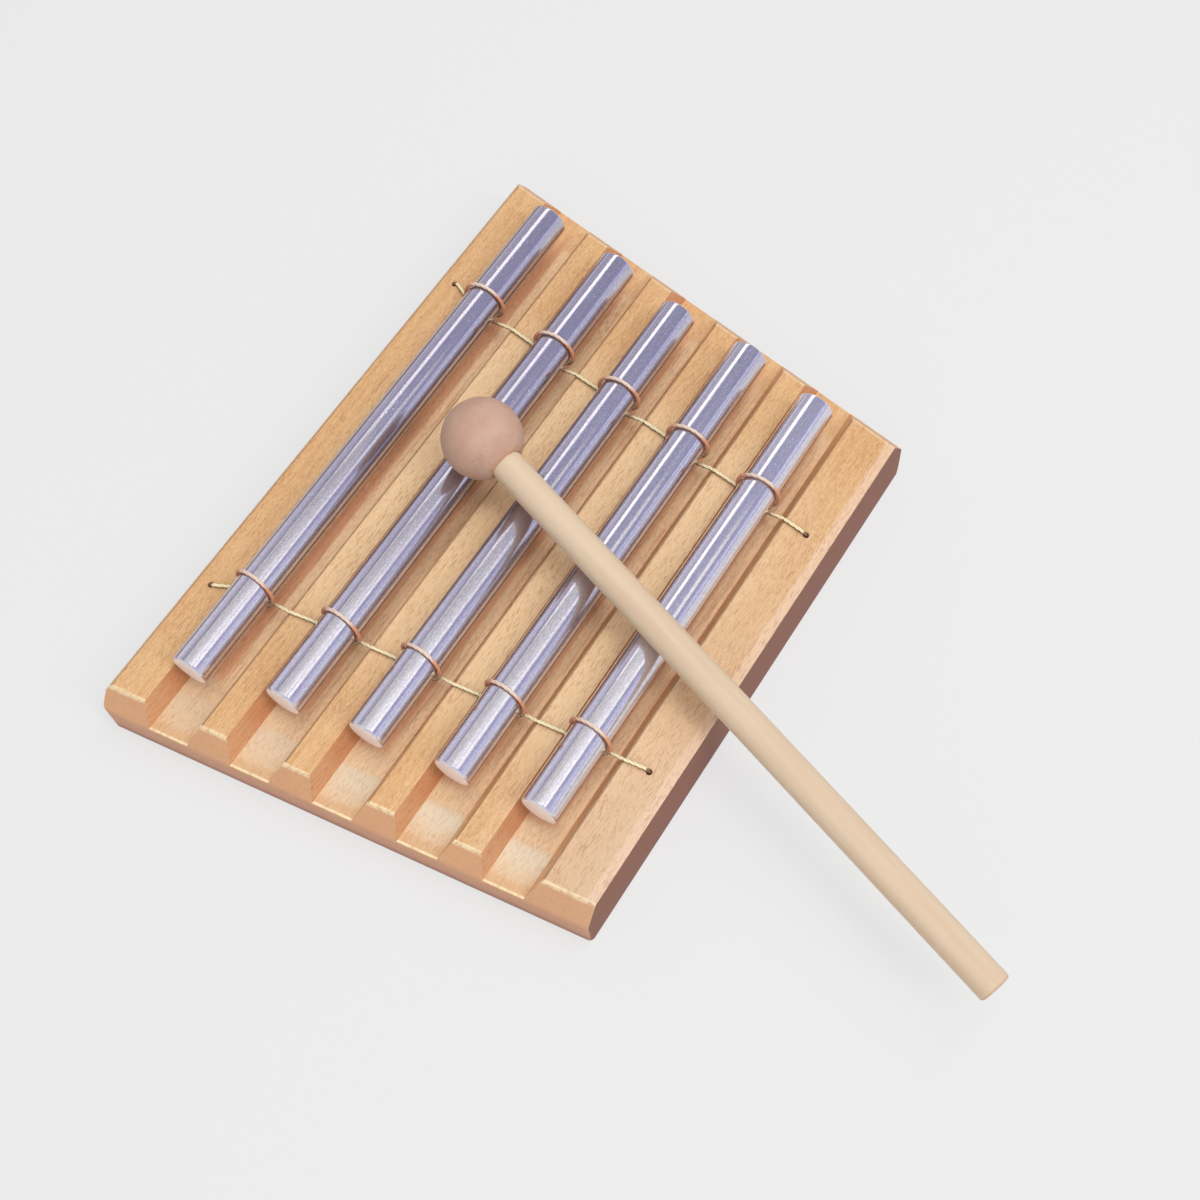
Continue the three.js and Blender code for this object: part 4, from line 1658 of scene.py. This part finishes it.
@dataclass
class Mallet:
    """The mallet: a turned ball on a dowel, laid with its head on one rod and its handle on the last."""

    plan: Plan
    head_radius: float = 12.25 * MM
    bore_depth: float = 13.25 * MM
    handle_radius: float = 5 * MM
    handle_length: float = 211 * MM
    easing: float = 1 * MM
    bore_room: float = 0.12 * MM
    mouth_round: float = 0.25 * MM
    lip_points: tuple[tuple[float, float], ...] = ((0.08 * MM, 0.1 * MM), (0.0, 0.4 * MM))
    chip_waves: tuple[int, int] = (7, 3)
    chip_phase: float = 1.1
    chip_reach: float = 0.5 * MM
    chip_depth: float = 0.35 * MM
    head_rod: int = 1
    head_along: float = 9.7 * MM
    head_lean: float = math.radians(19.8)
    yaw: float = math.radians(-15.96)
    smooth_angle: float = math.radians(40)
    head_sides: int = 96
    head_steps: int = 56
    handle_sides: int = 64
    butt_steps: int = 8

    @property
    def head(self) -> Vector:
        """The middle of the ball."""
        rod = self.plan.rods[self.head_rod]
        seat = rod.radius + self.head_radius + self.plan.touch_gap
        return Vector((
            rod.centre.x + seat * math.sin(self.head_lean),
            self.head_along,
            rod.centre.z + seat * math.cos(self.head_lean),
        ))

    @property
    def axis(self) -> Vector:
        """The direction from the ball to the butt."""
        rod = self.plan.rods[-1]
        seat = rod.radius + self.handle_radius + self.plan.touch_gap
        rise = self.head.z - rod.centre.z
        run = rod.centre.x - self.head.x
        fall = math.acos(seat / math.hypot(rise, run)) - math.atan2(run, rise)
        return Vector((1, math.tan(self.yaw), -math.tan(fall))).normalized()

    @property
    def _lie(self) -> Matrix:
        """Takes a piece that is turned about +Y to where the mallet lies."""
        turn = Vector((0, 1, 0)).rotation_difference(self.axis)
        return Matrix.Translation(self.head) @ turn.to_matrix().to_4x4()

    def build(self) -> list[bpy.types.Object]:
        """Turns, dresses and seats the mallet.

        Returns:
            The ball and the handle.
        """
        ball = self._seated("mallet_ball", self._ball_skin(), "mallet_head")
        mouth = math.sqrt(self.head_radius ** 2 - (self.handle_radius + self.plan.touch_gap) ** 2)
        ball.data.materials.append(BallFinish(self.head, self.axis, mouth).material())
        dowel = self._seated("mallet_dowel", self._dowel_skin(), "mallet_handle")
        butt = self.head_radius - self.bore_depth + self.plan.touch_gap + self.handle_length
        dowel.data.materials.append(DowelFinish(self.head, self.axis, butt).material())
        return [ball, dowel]

    def _seated(self, name: str, mesh: bmesh.types.BMesh, node: str) -> bpy.types.Object:
        """Lays a turned skin down as a piece of the mallet.

        Args:
            name: The piece's name.
            mesh: The skin, turned about +Y.
            node: The CAD node that it stands for.

        Returns:
            The piece.
        """
        bmesh.ops.transform(mesh, matrix=self._lie, verts=mesh.verts[:])
        piece = add_piece(name, mesh, self.smooth_angle)
        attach(piece, "mallet")
        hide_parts(node)
        return piece

    def _ball_skin(self) -> bmesh.types.BMesh:
        """The ball with its blind bore and an eased, slightly chipped mouth."""
        bore = self.handle_radius + self.bore_room
        mouth_angle = math.acos((bore + self.mouth_round) / self.head_radius)
        bottom = self.head_radius - self.bore_depth
        profile = arc((0, 0), self.head_radius, -QUARTER_TURN, mouth_angle, self.head_steps)
        profile[0] = (0.0, -self.head_radius)
        lip = self.head_radius * math.sin(mouth_angle)
        profile += [(bore + out, lip - down) for out, down in self.lip_points]
        profile += [(bore, bottom), (0.0, bottom)]
        mesh = spun(profile, self.head_sides)
        many, few = self.chip_waves
        for vert in mesh.verts:
            near_lip = max(0.0, 1 - abs(vert.co.y - lip) / self.chip_reach)
            turn = math.atan2(vert.co.z, vert.co.x)
            wave = math.sin(many * turn) * math.sin(few * turn + self.chip_phase)
            vert.co.y -= self.chip_depth * max(0.0, wave) * near_lip
        return mesh

    def _dowel_skin(self) -> bmesh.types.BMesh:
        """The straight dowel with its eased butt."""
        inner = self.head_radius - self.bore_depth + self.plan.touch_gap
        butt = inner + self.handle_length
        profile = [(0.0, inner), (self.handle_radius, inner)]
        corner = (self.handle_radius - self.easing, butt - self.easing)
        profile += arc(corner, self.easing, 0, QUARTER_TURN, self.butt_steps)
        profile.append((0.0, butt))
        return spun(profile, self.handle_sides)


@dataclass
class Studio:
    """Camera, pale floor, soft lamps and the panels that the metal mirrors."""

    eye: Vector = Vector((0.147497, -0.176461, 0.473573))
    aim: Vector = Vector((0.028043, -0.007044, 0.021))
    roll: float = math.radians(-2.575)
    lens: float = 50.632
    sensor: float = 36.0
    backdrop: Colour = tint(235, 235, 235)
    ambient: float = 0.48
    glare: tuple[float, float, float] = (1.0, 0.99, 0.95)
    slate: tuple[float, float, float] = (0.87, 0.88, 1.24)
    mauve: tuple[float, float, float] = (0.97, 0.93, 1.12)
    russet: tuple[float, float, float] = (1.0, 0.78, 0.72)
    floor_reach: float = 4.0
    floor_gap: float = 0.05 * MM
    floor_glow: float = 0.75

    def build(self) -> None:
        """Sets up everything around the chime."""
        bpy.context.scene.view_settings.view_transform = "Standard"
        self._camera()
        self._world()
        self._floor()
        self._lamp("strip", Vector((0.1, 0.30, 1.2)), (0.14, 1.3), 5.2)
        self._lamp("right_fill", Vector((1.2, 0.0, 1.92)), (0.6, 1.8), 20.0)
        self._lamp("front_fill", Vector((0.25, -0.9, 0.8)), (0.9, 0.9), 2.6)
        self._panel("ceiling", (0.35, 0.5, 0.9), (2.2, 1.8), self.slate, (0.70, 0.70, 0.20, 0.20))
        self._panel(
            "back_streak", (-0.212, 0.36, 0.394), (0.13, 0.5), self.glare, (1.5, 1.5, 3.2, 3.2), -0.1,
        )
        self._panel("front_streak", (0.203, 0.08, 0.415), (0.13, 0.28), self.glare, (1.6, 1.6, 1.0, 1.0))
        self._panel("front_glow", (-0.06, 0.02, 0.42), (0.38, 0.24), self.glare, (0.68, 1.9, 0.6, 0.95))
        self._panel("right_shade", (0.325, 0.10, 0.40), (0.06, 0.30), self.slate, (0.40, 0.40, 0.40, 0.40))
        self._panel("right_glow", (0.44, 0.40, 0.27), (0.12, 1.0), self.slate, (0.75, 0.75, 1.0, 1.0))
        self._panel("left_shade", (-0.42, 0.20, 0.29), (0.34, 0.7), self.mauve, (0.9, 0.15, 0.46, 0.40))
        self._panel("left_foot", (-0.15, 0.10, 0.005), (0.06, 0.5), self.russet, (0.32, 0.32, 0.32, 0.32))

    def _camera(self) -> None:
        """Looks at the chime as the photograph does."""
        data = bpy.data.cameras.new("camera")
        data.lens = self.lens
        data.sensor_width = self.sensor
        camera = bpy.data.objects.new("camera", data)
        camera.matrix_world = self._facing(self.eye) @ Matrix.Rotation(self.roll, 4, "Z")
        bpy.context.scene.collection.objects.link(camera)
        bpy.context.scene.camera = camera

    def _world(self) -> None:
        """A pale backdrop that lights the chime at a plain level."""
        world = bpy.data.worlds.new("studio")
        graph = Graph(world)
        light = graph.node("ShaderNodeBackground", None, {"Strength": self.ambient})
        seen = graph.node("ShaderNodeBackground", None, {"Color": self.backdrop})
        mixed = graph.mix_shaders(graph.seen(), light, seen)
        graph.node("ShaderNodeOutputWorld", None, {"Surface": mixed.outputs[0]})
        bpy.context.scene.world = world

    def _floor(self) -> None:
        """A plain pale floor that keeps the chime's shadow."""
        mesh = bmesh.new()
        bmesh.ops.create_grid(mesh, x_segments=1, y_segments=1, size=self.floor_reach)
        bmesh.ops.translate(mesh, verts=mesh.verts[:], vec=-self.floor_gap * UP)
        floor = add_piece("floor", mesh)
        material = bpy.data.materials.new("pale_floor")
        graph = Graph(material)
        matte = graph.node("ShaderNodeBsdfDiffuse", None, {"Color": self.backdrop})
        glow = graph.node("ShaderNodeEmission", None, {"Color": self.backdrop})
        mixed = graph.mix_shaders(graph.seen() * self.floor_glow, matte, glow)
        graph.node("ShaderNodeOutputMaterial", None, {"Surface": mixed.outputs[0]})
        floor.data.materials.append(material)

    def _facing(self, place: Vector) -> Matrix:
        """A place that looks at the chime along its own -Z."""
        turn = (self.aim - place).to_track_quat("-Z", "Y").to_matrix().to_4x4()
        return Matrix.Translation(place) @ turn

    def _lamp(self, name: str, place: Vector, size: tuple[float, float], power: float) -> None:
        """Adds a soft oblong lamp that mirrors don't show.

        Args:
            name: The lamp's name.
            place: Where it hangs.
            size: Its width across X and its length along Y.
            power: Its power in watts.
        """
        data = bpy.data.lights.new(name, "AREA")
        data.shape = "RECTANGLE"
        data.size, data.size_y = size
        data.energy = power
        lamp = bpy.data.objects.new(name, data)
        lamp.matrix_world = self._facing(place)
        lamp.visible_glossy = False
        bpy.context.scene.collection.objects.link(lamp)

    def _panel(
        self,
        name: str,
        place: Sequence[float],
        size: tuple[float, float],
        hue: tuple[float, float, float],
        levels: tuple[float, float, float, float],
        spin: float = 0.0,
    ) -> None:
        """Adds a shaded panel that only mirrors show.

        Args:
            name: The panel's name.
            place: Its middle.
            size: Its width across X and its length along Y.
            hue: Its colour at a level of 1.
            levels: Its brightness at its front left, front right, back left and back right corners.
            spin: How far it is turned in its own plane.
        """
        mesh = bmesh.new()
        glow = mesh.verts.layers.float_color.new("glow")
        bmesh.ops.create_grid(mesh, x_segments=1, y_segments=1, size=0.5)
        for vert in mesh.verts:
            level = levels[2 * (vert.co.y > 0) + (vert.co.x > 0)]
            vert[glow] = (*(level * channel for channel in hue), 1.0)
        bmesh.ops.scale(mesh, vec=(size[0], size[1], 1), verts=mesh.verts[:])
        lean = math.atan2(place[0] - self.aim.x, place[2] - self.aim.z)
        turn = Matrix.Rotation(lean, 4, "Y") @ Matrix.Rotation(spin, 4, "Z")
        bmesh.ops.transform(mesh, matrix=Matrix.Translation(place) @ turn, verts=mesh.verts[:])
        panel = add_piece(f"{name}_panel", mesh)
        material = bpy.data.materials.new(f"{name}_panel")
        graph = Graph(material)
        shade = graph.node("ShaderNodeAttribute", {"attribute_name": "glow"})
        light = graph.node("ShaderNodeEmission", None, {"Color": shade.outputs["Color"]})
        graph.node("ShaderNodeOutputMaterial", None, {"Surface": light.outputs[0]})
        panel.data.materials.append(material)
        panel.visible_camera = False
        panel.visible_diffuse = False
        panel.visible_transmission = False
        panel.visible_shadow = False


def main() -> None:
    """Builds the chime piece by piece and sets up the studio."""
    logging.basicConfig(level=logging.INFO, format="%(name)s: %(message)s")
    plan = Plan.read()
    Studio().build()
    pieces = [Board(plan).build()]
    pieces += [ChimeRod(place).build() for place in plan.rods]
    for side in Side:
        pieces += Sling(plan, side).build()
    pieces += Mallet(plan).build()
    for piece in pieces:
        LOG.info("%s: %d faces", piece.name, len(piece.data.polygons))


if __name__ == "__main__":
    main()
